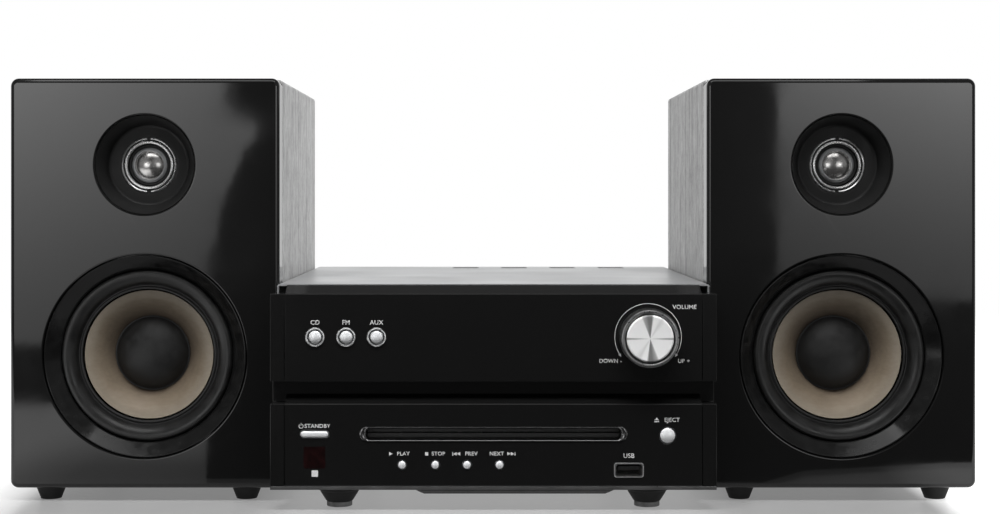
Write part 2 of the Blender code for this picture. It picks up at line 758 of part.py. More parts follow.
def build_woofer(side, parent, finishes):
    """Basket with its trim ring, magnet, and the cone and cap that move on the surround."""
    at = (0.0, 0.0, WOOFER_HEIGHT)
    flange_back = WOOFER_REBATE - GAP
    basket_profile = [
        (45.7, 7.4),
        (52.9, 0.9),
        (53.4, 1.4),
        (53.4, flange_back),
        (47.9, flange_back),
        (47.9, 15.5),
        (34.0, 49.5),
        (34.0, 52.0),
        (15.0, 52.0),
        (15.0, 50.3),
        (32.6, 50.3),
        (46.3, 15.1),
        (45.7, 9.6),
    ]
    shape = turned(basket_profile, WOOFER_FACETS, "Y")
    basket = piece(f"{side}_woofer_basket", shape, finishes["moulded_black"], parent, at)
    cut(
        basket,
        block((-60.0, 60.0), (21.5, 43.5), (-13.0, 13.0)),
        block((-13.0, 13.0), (21.5, 43.5), (-60.0, 60.0)),
    )

    magnet_profile = [
        (0.0, 50.5),
        (11.9, 50.5),
        (11.9, 71.5),
        (14.9, 71.5),
        (14.9, 52.3),
        (38.0, 52.3),
        (38.0, 78.5),
        (0.0, 78.5),
    ]
    shape = turned(magnet_profile, WOOFER_FACETS, "Y")
    piece(f"{side}_woofer_magnet", shape, finishes["steel"], parent, at)

    shape = turned(surround_profile(), WOOFER_FACETS, "Y")
    piece(f"{side}_woofer_surround", shape, finishes["rubber"], parent, at)

    cone_profile = [
        (34.6, 12.0),
        (30.5, 13.5),
        (26.5, 16.3),
        (23.0, 19.6),
        (20.2, 23.0),
        (16.0, 29.0),
        (12.6, 35.5),
        (12.6, 63.5),
        (13.6, 63.5),
        (13.6, 36.6),
        (17.0, 29.8),
        (21.2, 23.8),
        (24.0, 20.5),
        (27.3, 17.4),
        (31.0, 14.7),
        (34.6, 13.3),
    ]
    shape = turned(cone_profile, WOOFER_FACETS, "Y")
    piece(f"{side}_woofer_cone", shape, finishes["tan_cone"], parent, at)

    cap_profile = dome(19.6, 22.6, 13.2, 4) + dome(18.8, 22.6, 14.0, 4)[::-1]
    shape = turned(cap_profile, WOOFER_FACETS, "Y")
    piece(f"{side}_woofer_cap", shape, finishes["moulded_black"], parent, at)


def build_tweeter(side, parent, finishes):
    """Faceplate with its magnet cup, and the dome that moves in it."""
    at = (0.0, 0.0, TWEETER_HEIGHT)
    body_profile = [
        (0.0, 15.5),
        (12.7, 15.5),
        (12.7, 12.1),
        (32.0, 12.1),
        (32.0, 14.6),
        (22.0, 14.6),
        (22.0, 36.0),
        (0.0, 36.0),
    ]
    shape = turned(body_profile, TWEETER_FACETS, "Y")
    piece(f"{side}_tweeter_body", shape, finishes["moulded_black"], parent, at)

    front = dome(9.2, 14.4, 10.6, 4) + [(12.2, 14.4)]
    back = dome(8.8, 15.0, 11.4, 4) + [(12.2, 15.0)]
    shape = turned(front + back[::-1], TWEETER_FACETS, "Y")
    piece(f"{side}_tweeter_dome", shape, finishes["silver_dome"], parent, at)


def build_speaker(side, x, finishes):
    speaker = place(f"{side}_speaker_place", (x, SPEAKER_Y, 0.0))
    build_baffle(side, speaker, finishes)
    build_cabinet(side, speaker, finishes)
    build_woofer(side, speaker, finishes)
    build_tweeter(side, speaker, finishes)


def main():
    for item in list(bpy.data.objects):
        bpy.data.objects.remove(item, do_unlink=True)
    finishes = make_finishes()
    unit = place("main_unit_place", (0.0, FASCIA_Y, 0.0))
    build_fascia(unit, finishes)
    build_buttons(unit, finishes)
    build_control_board(unit, finishes)
    build_case(unit, finishes)
    build_power(unit, finishes)
    build_disc_mechanism(unit, finishes)
    build_speaker("left", -SPEAKER_X, finishes)
    build_speaker("right", SPEAKER_X, finishes)


main()
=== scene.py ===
"""The looks of the mini hifi system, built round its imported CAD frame.

Metres, +Z up, and the front faces -Y. Sizes in the shapes below are in millimetres, and MM turns
them into metres. Main unit shapes are drawn as (x, depth behind the fascia, height). Shapes of a
round piece are drawn about its own middle, and speaker depths are counted from the baffle's front.
"""

import math

import bmesh
import bpy
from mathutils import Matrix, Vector


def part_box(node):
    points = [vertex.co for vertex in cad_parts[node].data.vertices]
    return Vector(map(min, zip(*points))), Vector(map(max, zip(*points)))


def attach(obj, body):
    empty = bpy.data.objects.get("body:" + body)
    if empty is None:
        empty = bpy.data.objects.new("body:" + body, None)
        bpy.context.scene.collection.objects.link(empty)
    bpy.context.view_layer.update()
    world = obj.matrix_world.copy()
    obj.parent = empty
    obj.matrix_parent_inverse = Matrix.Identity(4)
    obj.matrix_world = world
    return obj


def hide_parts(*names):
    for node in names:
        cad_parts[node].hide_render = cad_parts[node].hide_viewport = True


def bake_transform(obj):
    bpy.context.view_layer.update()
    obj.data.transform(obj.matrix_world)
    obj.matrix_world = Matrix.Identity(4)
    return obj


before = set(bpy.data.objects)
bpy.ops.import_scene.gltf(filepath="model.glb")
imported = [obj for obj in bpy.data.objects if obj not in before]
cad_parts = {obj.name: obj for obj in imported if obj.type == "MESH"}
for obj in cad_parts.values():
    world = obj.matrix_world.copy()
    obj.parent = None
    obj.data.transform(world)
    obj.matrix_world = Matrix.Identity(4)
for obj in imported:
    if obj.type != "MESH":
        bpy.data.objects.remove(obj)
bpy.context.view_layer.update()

MM = 0.001
UNIT = "main_unit"
SIDES = ("left", "right")
# The fascia's middle at floor height, and the frame's own origin
ORIGIN = Vector((0.0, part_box("upper_panel")[0].y, 0.0))
WORLD = Vector()
BAFFLE_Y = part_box("left_baffle")[0].y

# Facets in a full turn
LARGE = 128
MEDIUM = 72
SMALL = 40


# Shapes


def oriented(across, up, along, axis):
    """The point that lies across and up from an axis, and so far along it."""
    return {"X": (along, across, up), "Y": (across, along, up), "Z": (across, up, along)}[axis]


def turned(profile, facets, axis="Y", at=(0.0, 0.0, 0.0)):
    """A turned solid, from a closed list of (radius, along) corners."""
    bm = bmesh.new()
    poles = {
        number: bm.verts.new(oriented(0.0, 0.0, corner[1], axis))
        for number, corner in enumerate(profile)
        if abs(corner[0]) < 1e-9
    }
    rings = []
    for step in range(facets):
        angle = math.tau * step / facets
        across, up = math.cos(angle), math.sin(angle)
        rings.append([
            poles.get(number) or bm.verts.new(oriented(radius * across, radius * up, along, axis))
            for number, (radius, along) in enumerate(profile)
        ])
    for here, there in zip(rings, rings[1:] + rings[:1]):
        for number in range(len(profile)):
            following = (number + 1) % len(profile)
            corners = [here[number], here[following], there[following], there[number]]
            corners = list(dict.fromkeys(corners))
            if len(corners) > 2:
                bm.faces.new(corners)
    bmesh.ops.translate(bm, vec=at, verts=bm.verts)
    return bm


def swept(sections, ring=False):
    """A solid through closed sections of points. A ring joins the last section to the first."""
    bm = bmesh.new()
    loops = [[bm.verts.new(point) for point in section] for section in sections]
    for near, far in zip(loops, loops[1:] + loops[:1] if ring else loops[1:]):
        for number in range(len(near)):
            following = (number + 1) % len(near)
            bm.faces.new((near[number], near[following], far[following], far[number]))
    if not ring:
        bm.faces.new(loops[0])
        bm.faces.new(reversed(loops[-1]))
    return bm


def lofted(sections, axis="Y", ring=False):
    """A solid through (outline, along) sections."""
    return swept(
        [[oriented(*point, along, axis) for point in outline] for outline, along in sections], ring
    )


def prism(outline, low, high, axis="Y"):
    """An outline drawn out along an axis."""
    return lofted([(outline, low), (outline, high)], axis)


def block(xs, depths, heights):
    """A rectangular block between pairs of coordinates."""
    (left, right), (low, high) = xs, heights
    return prism([(left, low), (right, low), (right, high), (left, high)], *depths)


def arc(centre, radius, start, end, steps):
    """Points along an arc, from one angle in degrees to another."""
    points = []
    for step in range(steps + 1):
        angle = math.radians(start + (end - start) * step / steps)
        points.append((centre[0] + radius * math.cos(angle), centre[1] + radius * math.sin(angle)))
    return points


def rounded_rectangle(size, radius, centre=(0.0, 0.0), steps=6):
    """A rectangle's outline with its corners rounded."""
    outline = []
    for quarter, (right, up) in enumerate([(1, 1), (-1, 1), (-1, -1), (1, -1)]):
        corner = (centre[0] + right * (size[0] / 2 - radius), centre[1] + up * (size[1] / 2 - radius))
        outline += arc(corner, radius, 90 * quarter, 90 * quarter + 90, steps)
    return outline


def oblong(size, centre=(0.0, 0.0), steps=12):
    """A slot's outline, with round ends."""
    return rounded_rectangle(size, 0.495 * size[1], centre, steps)


def eased(outline, radius, steps=4):
    """A closed outline with its corners rounded, apart from those on a turning axis."""
    points = []
    for number, corner in enumerate(outline):
        corner = Vector(corner)
        if abs(corner.x) < 1e-9:
            points.append(corner)
            continue
        before = Vector(outline[number - 1]) - corner
        after = Vector(outline[(number + 1) % len(outline)]) - corner
        reach = min(radius, 0.45 * before.length, 0.45 * after.length)
        start = corner + before.normalized() * reach
        end = corner + after.normalized() * reach
        for step in range(steps + 1):
            share = step / steps
            points.append(start * (1 - share) ** 2 + corner * 2 * share * (1 - share) + end * share ** 2)
    return points


def bar(radius, low, high):
    """The profile of a plain round bar."""
    return [(0.0, low), (radius, low), (radius, high), (0.0, high)]


def dome(rim_radius, rim_along, apex_along, steps):
    """Profile points of a spherical cap, from its apex to its rim."""
    rise = rim_along - apex_along
    sphere = (rim_radius ** 2 + rise ** 2) / (2 * rise)
    widest = math.asin(rim_radius / sphere)
    points = []
    for step in range(steps + 1):
        angle = widest * step / steps
        points.append((sphere * math.sin(angle), apex_along + sphere * (1 - math.cos(angle))))
    return points


def together(shapes):
    """Several shapes in one mesh."""
    bm = bmesh.new()
    for shape in shapes:
        mesh = bpy.data.meshes.new("joined")
        bmesh.ops.recalc_face_normals(shape, faces=shape.faces)
        shape.to_mesh(mesh)
        shape.free()
        bm.from_mesh(mesh)
        bpy.data.meshes.remove(mesh)
    return bm


# Pieces


def in_scene(name, data):
    """A new object, linked into the scene."""
    made = bpy.data.objects.new(name, data)
    bpy.context.scene.collection.objects.link(made)
    return made


def new_object(name, shape):
    """An object in metres from a shape in millimetres."""
    bmesh.ops.recalc_face_normals(shape, faces=shape.faces)
    bmesh.ops.scale(shape, vec=(MM, MM, MM), verts=shape.verts)
    mesh = bpy.data.meshes.new(name)
    shape.to_mesh(mesh)
    shape.free()
    return in_scene(name, mesh)


def modified(item, kind, **settings):
    """Applies a modifier to an object."""
    modifier = item.modifiers.new("shape", kind)
    for key, value in settings.items():
        setattr(modifier, key, value)
    bpy.context.view_layer.update()
    graph = bpy.context.evaluated_depsgraph_get()
    mesh = bpy.data.meshes.new_from_object(item.evaluated_get(graph))
    item.modifiers.clear()
    item.data = mesh


def cut(item, shapes):
    """Cuts shapes out of an object, one after another."""
    for shape in shapes:
        tool = new_object(item.name + "_tool", shape)
        tool.location = item.location
        modified(item, "BOOLEAN", operation="DIFFERENCE", object=tool)
        bpy.data.objects.remove(tool)


def soften(item, width, segments=2, angle=40):
    """Rounds an object's sharp edges over."""
    modified(
        item, "BEVEL", width=width * MM, segments=segments, limit_method="ANGLE",
        angle_limit=math.radians(angle), use_clamp_overlap=True, miter_outer="MITER_ARC",
    )


def finish_piece(item, look, body, node=None, angle=35):
    """Gives a piece its shading, material and body, and hides the CAD node that it stands for."""
    material, usual_slot = LOOKS[look]
    item.data.shade_smooth()
    item.data.set_sharp_from_angle(angle=math.radians(angle))
    modified(item, "WEIGHTED_NORMAL", keep_sharp=True, weight=100)
    item.data.materials.clear()
    item.data.materials.append(material)
    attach(item, body)
    if node:
        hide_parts(node)


def piece(name, shape, look, at, node=None, body=UNIT, cuts=(), edge=0.0, bend=40, angle=35):
    """A finished piece. Its place is in metres, and its shape in millimetres about that place.

    Edges that turn by more than bend are rounded over, and those over angle are shaded as sharp.
    """
    item = new_object(name, shape)
    item.location = at
    cut(item, cuts)
    if edge:
        soften(item, edge, angle=bend)
    finish_piece(item, look, body, node, angle)


def softened(node, look, edge, cuts=()):
    """A copy of a CAD piece with its sharp edges rounded over, which stands for it."""
    bm = bmesh.new()
    bm.from_mesh(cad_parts[node].data)
    bmesh.ops.remove_doubles(bm, verts=bm.verts, dist=1e-6)
    bmesh.ops.dissolve_limit(bm, angle_limit=math.radians(0.5), verts=bm.verts, edges=bm.edges)
    mesh = bpy.data.meshes.new(node + "_skin")
    bm.to_mesh(mesh)
    bm.free()
    item = in_scene(node + "_skin", mesh)
    cut(item, cuts)
    soften(item, edge, segments=3)
    finish_piece(item, look, UNIT, node)


def middle_of(node, front=ORIGIN.y):
    """A CAD node's middle across and up, at a given depth."""
    low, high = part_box(node)
    return Vector(((low.x + high.x) / 2, front, (low.z + high.z) / 2))


def box_mm(node, origin=ORIGIN):
    """A CAD node's box in millimetres, with depths counted from the fascia or another origin."""
    return [(corner - origin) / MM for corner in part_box(node)]


def spot(x, depth, height):
    """A place in metres, from millimetres across, behind the fascia and up."""
    return ORIGIN + Vector((x, depth, height)) * MM


# Materials


class Nodes:
    """The shader nodes of a material or a world."""

    def __init__(self, owner):
        owner.use_nodes = True
        self.nodes = owner.node_tree.nodes
        self.links = owner.node_tree.links

    def feed(self, inputs, key, value):
        """Links an output to an input, or sets the input to a plain value."""
        if isinstance(value, bpy.types.NodeSocket):
            self.links.new(value, inputs[key])
        else:
            inputs[key].default_value = value

    def node(self, kind, inputs=None, **properties):
        """A new node's outputs."""
        made = self.nodes.new(kind)
        for key, value in properties.items():
            setattr(made, key, value)
        for key, value in (inputs or {}).items():
            self.feed(made.inputs, key, value)
        return made.outputs

    def coordinates(self, kind="Object"):
        return self.node("ShaderNodeTexCoord")[kind]

    def axes(self, kind="Object"):
        """The X, Y and Z of a kind of coordinates."""
        return self.node("ShaderNodeSeparateXYZ", {"Vector": self.coordinates(kind)})

    def maths(self, operation, first, second=0.0):
        return self.node("ShaderNodeMath", {0: first, 1: second}, operation=operation)[0]

    def between(self, factor, low, high, start=0.3, end=0.7):
        """A factor between two values, as noise goes from start to end."""
        inputs = {"Value": factor, "From Min": start, "From Max": end, "To Min": low, "To Max": high}
        return self.node("ShaderNodeMapRange", inputs)["Result"]

    def length(self, vector):
        return self.node("ShaderNodeVectorMath", {0: vector}, operation="LENGTH")["Value"]


class Look(Nodes):
    """A material with one Principled shader, which textures vary."""

    def __init__(self, name, colour, roughness, metallic=0.0, **values):
        self.material = bpy.data.materials.new(name)
        super().__init__(self.material)
        self.shader = self.nodes["Principled BSDF"]
        self.colour = colour
        self.set("Base Color", (*colour, 1.0))
        self.set("Roughness", roughness)
        self.set("Metallic", metallic)
        for key, value in values.items():
            self.set(key.replace("_", " "), value)

    def set(self, name, value):
        self.feed(self.shader.inputs, name, value)

    def place(self, size, stretch=(1.0, 1.0, 1.0), where=None):
        """Object coordinates in units of a size in millimetres, longer along a stretched axis."""
        scale = [1.0 / (size * MM * share) for share in stretch]
        inputs = {"Vector": where or self.coordinates(), "Scale": scale}
        return self.node("ShaderNodeMapping", inputs)["Vector"]

    def noise(self, size, detail=3.0, stretch=(1.0, 1.0, 1.0), where=None):
        """Noise with features about this many millimetres across."""
        inputs = {"Vector": self.place(size, stretch, where), "Scale": 1.0, "Detail": detail}
        return self.node("ShaderNodeTexNoise", inputs)["Fac"]

    def waves(self, where, axis):
        return self.node("ShaderNodeTexWave", {"Vector": where, "Scale": 1.0}, bands_direction=axis)["Fac"]

    def radius(self):
        """Distance in metres from the piece's own front-to-back axis."""
        split = self.axes()
        return self.length(self.node("ShaderNodeCombineXYZ", {"X": split["X"], "Z": split["Z"]})[0])

    def colours(self, factor, *stops):
        """A colour from (position, colour) stops."""
        made = self.nodes.new("ShaderNodeValToRGB")
        self.feed(made.inputs, "Fac", factor)
        ramp = made.color_ramp
        while len(ramp.elements) < len(stops):
            ramp.elements.new(0.5)
        for element, (position, colour) in zip(ramp.elements, stops):
            element.position = position
            element.color = (*colour, 1.0)
        return made.outputs["Color"]

    def paint(self, factor, *stops):
        """The base colour, from (position, colour) stops. A plain number is a share of it."""
        colours = []
        for position, colour in stops:
            if isinstance(colour, float):
                colour = [colour * part for part in self.colour]
            colours.append((position, colour))
        self.set("Base Color", self.colours(factor, *colours))

    def rough(self, factor, low, high, start=0.3, end=0.7):
        self.set("Roughness", self.between(factor, low, high, start, end))

    def bump(self, height, depth, strength=1.0):
        """Relief this many millimetres deep."""
        inputs = {"Height": height, "Distance": depth * MM, "Strength": strength}
        self.set("Normal", self.node("ShaderNodeBump", inputs)["Normal"])

    def surface(self, shader):
        self.feed(self.nodes["Material Output"].inputs, "Surface", shader)


def grey(value, warmth=0.0):
    return (value * (1 + warmth), value, value * (1 - warmth))


def polished(name, value, smooth, dull):
    """A gloss black, with faint smears and a slight ripple in its surface."""
    look = Look(name, grey(value), smooth)
    look.rough(look.noise(34.0, 4.0), smooth, dull, 0.42, 0.75)
    look.bump(look.noise(7.0, 1.0), 0.004)
    return look.material


def moulded(name, value, roughness=0.5, grain=0.35, shine=0.5):
    """Matte moulded plastic with a fine spark-eroded grain."""
    look = Look(name, grey(value), roughness, Specular_IOR_Level=shine)
    tone = look.noise(11.0, 5.0)
    look.paint(tone, (0.3, 0.8), (0.7, 1.3))
    look.rough(tone, roughness - 0.07, roughness + 0.08)
    cells = look.node("ShaderNodeTexVoronoi", {"Vector": look.place(grain), "Scale": 1.0})
    look.bump(cells["Distance"], 0.02, 0.5)
    return look.material


def socket_plastic(name, colour):
    """Coloured moulded plastic, a little uneven."""
    look = Look(name, colour, 0.4)
    tone = look.noise(2.5, 4.0)
    look.paint(tone, (0.3, 0.85), (0.7, 1.12))
    look.rough(tone, 0.35, 0.46)
    return look.material


def rubber(name, value, roughness=0.62, shine=0.35):
    """Soft rubber with a faint bloom and fine texture."""
    look = Look(name, grey(value), roughness, Specular_IOR_Level=shine)
    bloom = look.noise(6.0, 6.0)
    look.paint(bloom, (0.35, 0.75), (0.7, 1.6))
    look.rough(bloom, roughness - 0.08, roughness + 0.1)
    look.bump(look.noise(0.25, 2.0), 0.015, 0.6)
    return look.material


def plated(name, value, roughness, warmth=0.0):
    """Bright plating with fine hairline wear."""
    look = Look(name, grey(value, warmth), roughness, 1.0)
    look.rough(look.noise(2.2, 2.0), roughness * 0.85, roughness * 1.25)
    look.paint(look.noise(9.0, 3.0), (0.3, 0.9), (0.7, 1.06))
    return look.material


def rolled_sheet(name, value, roughness, stretch=(14.0, 1.0, 1.0)):
    """Sheet metal with a rolling grain along one axis."""
    look = Look(name, grey(value), roughness, 1.0)
    grain = look.noise(0.5, 3.0, stretch)
    look.rough(grain, roughness - 0.08, roughness + 0.1)
    look.paint(look.noise(16.0, 4.0), (0.3, 0.88), (0.7, 1.08))
    look.bump(grain, 0.006, 0.5)
    return look.material


def silver_paint(name, value, roughness, metallic):
    """Satin silver paint with fine flake."""
    look = Look(name, grey(value, -0.015), roughness, metallic)
    flake = look.noise(0.35, 2.0)
    look.paint(flake, (0.35, 0.88), (0.7, 1.1))
    look.rough(look.noise(60.0, 3.0), roughness - 0.06, roughness + 0.08)
    look.bump(flake, 0.006, 0.5)
    return look.material


def satin_black_paint(name, value, roughness, shine=0.5):
    """Black powder coat with a fine orange peel."""
    look = Look(name, grey(value), roughness, Specular_IOR_Level=shine)
    dust = look.noise(5.0, 6.0)
    look.paint(dust, (0.4, 0.85), (0.75, 1.6))
    look.rough(dust, roughness - 0.05, roughness + 0.09)
    look.bump(look.noise(1.1, 2.0), 0.02, 0.5)
    return look.material


def wood_vinyl():
    """Grey wood-grain vinyl, wrapped round the box, upright on the back, with a few dark streaks."""
    look = Look("wood_vinyl", grey(0.25), 0.42)
    split = look.axes()
    on_back = look.maths("GREATER_THAN", look.maths("ABSOLUTE", look.axes("Normal")["Y"]), 0.7)
    along = look.maths("ADD", split["Y"], look.maths("MULTIPLY", split["X"], on_back))
    where = look.node("ShaderNodeCombineXYZ", {"X": split["X"], "Y": along, "Z": split["Z"]})["Vector"]
    fine, pores, cloud, streaks = (
        look.noise(size, detail, (stretch, 1.0, stretch), where)
        for size, detail, stretch in ((1.0, 5.0, 9.0), (0.5, 3.0, 3.5), (14.0, 4.0, 2.5), (5.0, 2.0, 60.0))
    )
    mixed = look.maths("ADD", look.maths("MULTIPLY", fine, 0.5), look.maths("MULTIPLY", pores, 0.3))
    mixed = look.maths("ADD", mixed, look.maths("MULTIPLY", cloud, 0.2))
    mixed = look.maths("SUBTRACT", mixed, look.between(streaks, 0.0, 0.14, 0.58, 0.68))
    look.paint(mixed, (0.34, grey(0.07)), (0.44, grey(0.16)), (0.53, grey(0.28)), (0.66, grey(0.42)))
    look.rough(mixed, 0.52, 0.36)
    look.bump(mixed, 0.1, 0.6)
    return look.material


def cone_paper():
    """Tan coated paper: short fibres and a soft pearl sheen, with painted shade that darkens it towards the
    middle.
    """
    look = Look("cone_paper", (0.15, 0.12, 0.085), 0.5, 0.1, Specular_IOR_Level=0.3)
    fibre = look.noise(1.4, 6.0, (3.0, 1.0, 1.0))
    cloud = look.noise(9.0, 3.0)
    tone = look.maths("ADD", look.maths("MULTIPLY", fibre, 0.5), look.maths("MULTIPLY", cloud, 0.5))
    mottle = look.between(tone, -0.09, 0.09, 0.36, 0.64)
    # Painted shade: the colour darkens from the rim in towards the cap, deep in the cone, and the rim is
    # painted paler where light falls on it.
    place = look.maths("ADD", look.between(look.radius(), 0.0, 1.0, 0.019, 0.035), mottle)
    dark, middle, pale = (0.075, 0.057, 0.042), (0.15, 0.12, 0.087), (0.23, 0.2, 0.16)
    look.paint(place, (0.0, dark), (0.5, middle), (1.0, pale))
    look.rough(cloud, 0.44, 0.56)
    look.bump(fibre, 0.05, 0.5)
    return look.material


def cap_cloth():
    """Black doped cloth for the dust cap, with a close plain weave."""
    look = Look("cap_cloth", grey(0.012), 0.44, Specular_IOR_Level=0.4)
    where = look.place(0.55)
    dope = look.noise(4.0, 4.0)
    look.paint(dope, (0.35, 0.5), (0.7, 1.0))
    look.rough(dope, 0.38, 0.52)
    look.bump(look.maths("MAXIMUM", look.waves(where, "X"), look.waves(where, "Z")), 0.03, 0.5)
    return look.material


def spun_metal_painted_highlights(name, value, roughness):
    """Metal turned on a lathe: fine rings about the axis, and a painted highlight pattern about it: bright
    sectors to the sides, and painted dark reflections in wedges at the top and bottom and in thin lines
    across.
    """
    look = Look(name, grey(value), roughness, 0.08, Anisotropic=0.8)
    inputs = {"W": look.radius(), "Scale": 4200.0, "Detail": 2.0}
    look.bump(look.node("ShaderNodeTexNoise", inputs, noise_dimensions="1D")["Fac"], 0.004, 0.6)
    look.set("Tangent", look.node("ShaderNodeTangent", direction_type="RADIAL", axis="Y")["Tangent"])
    split = look.axes()
    angle = look.maths("ARCTAN2", split["Z"], split["X"])
    turn = look.maths("FRACT", look.maths("DIVIDE", look.maths("ADD", angle, math.tau), math.pi))
    # Painted highlights: the base colour is bright where lights would glint on the spun face, and dark where
    # it would mirror the dark room, in sectors turned about the axis.
    bright, pale, half, dark = 1.0, 0.8, 0.45, 0.2
    look.paint(
        turn, (0.0, dark), (0.022, bright), (0.25, bright), (0.33, pale), (0.38, bright), (0.445, bright),
        (0.475, dark), (0.53, dark), (0.60, half), (0.63, bright), (0.978, bright), (1.0, dark),
    )
    return look.material


def circuit_board():
    """Green solder mask, with a faint grid of copper tracks under it."""
    look = Look("circuit_board", (0.02, 0.11, 0.045), 0.35)
    inputs = {"Vector": look.place(6.0), "Scale": 1.0, "Mortar Size": 0.03}
    inputs["Color1"] = (0.016, 0.10, 0.04, 1.0)
    inputs["Color2"] = (0.022, 0.13, 0.052, 1.0)
    inputs["Mortar"] = (0.035, 0.20, 0.075, 1.0)
    tracks = look.node("ShaderNodeTexBrick", inputs)
    look.set("Base Color", tracks["Color"])
    look.bump(tracks["Fac"], 0.03, 0.5)
    return look.material


def laminated_iron():
    """Varnished core plates of a transformer."""
    look = Look("laminated_iron", grey(0.14), 0.5, 0.7)
    look.paint(look.noise(8.0, 5.0), (0.35, (0.10, 0.09, 0.08)), (0.7, (0.19, 0.175, 0.16)))
    look.bump(look.waves(look.place(1.2), "Y"), 0.1, 0.6)
    return look.material


def smoked_red():
    """The dark red window over the remote receiver."""
    look = Look("smoked_red", (0.009, 0.001, 0.001), 0.12)
    depth = look.noise(3.5, 3.0)
    look.paint(depth, (0.35, (0.004, 0.0004, 0.0005)), (0.7, (0.010, 0.0009, 0.001)))
    look.rough(depth, 0.08, 0.2)
    return look.material


def printed_ink():
    """White screen-printed ink, a little uneven."""
    look = Look("printed_ink", grey(0.7), 0.55)
    cover = look.noise(0.5, 3.0)
    look.paint(cover, (0.3, grey(0.58)), (0.6, grey(0.76)))
    look.rough(cover, 0.5, 0.65)
    return look.material


def felt():
    """Dark grey felt in the mouth of the disc slot."""
    look = Look("felt", grey(0.12), 0.95, Sheen_Weight=0.4, Sheen_Roughness=0.6)
    nap = look.noise(0.3, 4.0)
    look.paint(nap, (0.3, grey(0.08)), (0.7, grey(0.16)))
    look.bump(nap, 0.15, 0.8)
    return look.material


# Each look's material and the slot that it usually goes in. CAD pieces have slots of their own
LOOKS = {
    "lacquer": (polished("black_lacquer", 0.0042, 0.045, 0.10), "baffle_lacquer"),
    "fascia": (polished("gloss_fascia", 0.0058, 0.10, 0.17), "gloss_fascia"),
    # The sill is a lighter grey than the frame: partly a painted highlight along the unit's lower lip.
    "sill": (moulded("sill_painted_highlight", 0.05, 0.34), "moulded_black"),
    "flange": (satin_black_paint("flange_paint", 0.006, 0.13, 0.28), "basket_steel"),
    "rear_paint": (satin_black_paint("rear_panel_paint", 0.016, 0.42), "black_rear_panel"),
    "moulded": (moulded("moulded_black", 0.016), "moulded_black"),
    "faceplate": (moulded("tweeter_faceplate", 0.007, 0.5, 0.5, 0.3), "moulded_black"),
    "rubber": (rubber("foot_rubber", 0.006), "foot_rubber"),
    "roller": (rubber("roller_rubber", 0.03, 0.7), None),
    "surround": (rubber("surround_rubber", 0.007, 0.36, 0.5), "surround_rubber"),
    "pad": (rubber("foot_pad", 0.22, 0.7), "foot_rubber"),
    "silver": (silver_paint("silver_paint", 0.5, 0.34, 0.75), "silver_cover"),
    "chrome": (plated("bright_plating", 0.74, 0.16), "silver_buttons"),
    "trim": (plated("dark_chrome", 0.22, 0.2), "slot_trim"),
    "ring": (plated("ring_plating", 0.85, 0.28), "tweeter_metal"),
    "screw": (plated("black_zinc", 0.07, 0.35), "moulded_black"),
    "brass": (plated("contact_gold", 0.62, 0.22, 0.28), "moulded_black"),
    "nickel": (plated("nickel", 0.60, 0.22, 0.04), "moulded_black"),
    "port": (plated("port_steel", 0.75, 0.34), "port_shell"),
    "dome": (plated("dome_metal", 0.55, 0.23, 0.02), "tweeter_metal"),
    "skirt": (silver_paint("dome_skirt_metal", 0.26, 0.4, 0.6), "tweeter_metal"),
    "button": (silver_paint("button_silver", 0.9, 0.34, 0.25), "silver_buttons"),
    "knob_face": (spun_metal_painted_highlights("spun_silver", 0.93, 0.42), "spun_knob"),
    "knob_ring": (plated("knob_ring_chrome", 0.36, 0.3), "spun_knob"),
    "tray": (rolled_sheet("zinc_sheet", 0.45, 0.42), "bare_steel"),
    "aluminium": (rolled_sheet("extruded_aluminium", 0.6, 0.4, (1.0, 1.0, 14.0)), None),
    "ferrite": (moulded("ferrite", 0.035, 0.6, 0.8), None),
    "vinyl": (wood_vinyl(), "cabinet_vinyl"),
    "paper": (cone_paper(), "cone_paper"),
    "cloth": (cap_cloth(), "cap_fabric"),
    "board": (circuit_board(), None),
    "core": (laminated_iron(), None),
    "red": (smoked_red(), "gloss_fascia"),
    "ink": (printed_ink(), "silver_buttons"),
    "felt": (felt(), "moulded_black"),
    "red_plastic": (socket_plastic("red_socket", (0.45, 0.012, 0.015)), "moulded_black"),
    "white_plastic": (socket_plastic("white_socket", (0.62, 0.62, 0.6)), "moulded_black"),
}


# Fascia panels


# Millimetres, with depths counted from the fascia
PANEL_BEVEL_RISE = 4.1
PANEL_BEVEL_WALL = 2.3
PANEL_WALL = 3.0
THROUGH_PANEL = (-2.0, 6.0)
SLOT_INNER = (129.5, 4.9)
USB_HOLE = (15.0, 7.4)
SILL_MIDDLE = 11.2
SILL_BULGE = ((-39.4, 0.2), (-37.0, 0.75), (-35.0, 1.0), (56.6, 1.0), (58.8, 0.75), (61.4, 0.2))
SOURCE_BUTTONS = ("cd_button", "fm_button", "aux_button")
DISC_BUTTONS = ("play_button", "stop_button", "previous_button", "next_button")
BUTTON_CLEARANCE = 0.3
CAP_MARGIN = 0.4
FLANGE_LIP = 1.2
FLANGE_FRONT = 3.4
FLANGE_BACK = 4.4


def button_place(node):
    """A button's middle across and up, and its cap's half width and half height."""
    low, high = box_mm(node)
    middle = (low + high) / 2
    half = (high - low) / 2
    return (middle.x, middle.z), (half.x - FLANGE_LIP, half.z - FLANGE_LIP)


def button_hole(node):
    """A cutter for a button's hole through a panel."""
    (x, height), (half_x, half_z) = button_place(node)
    size = (2 * (half_x + BUTTON_CLEARANCE), 2 * (half_z + BUTTON_CLEARANCE))
    if abs(half_x - half_z) < 0.2:
        return turned(bar(size[1] / 2, *THROUGH_PANEL), SMALL, at=(x, 0.0, height))
    return prism(oblong(size, (x, height)), *THROUGH_PANEL)


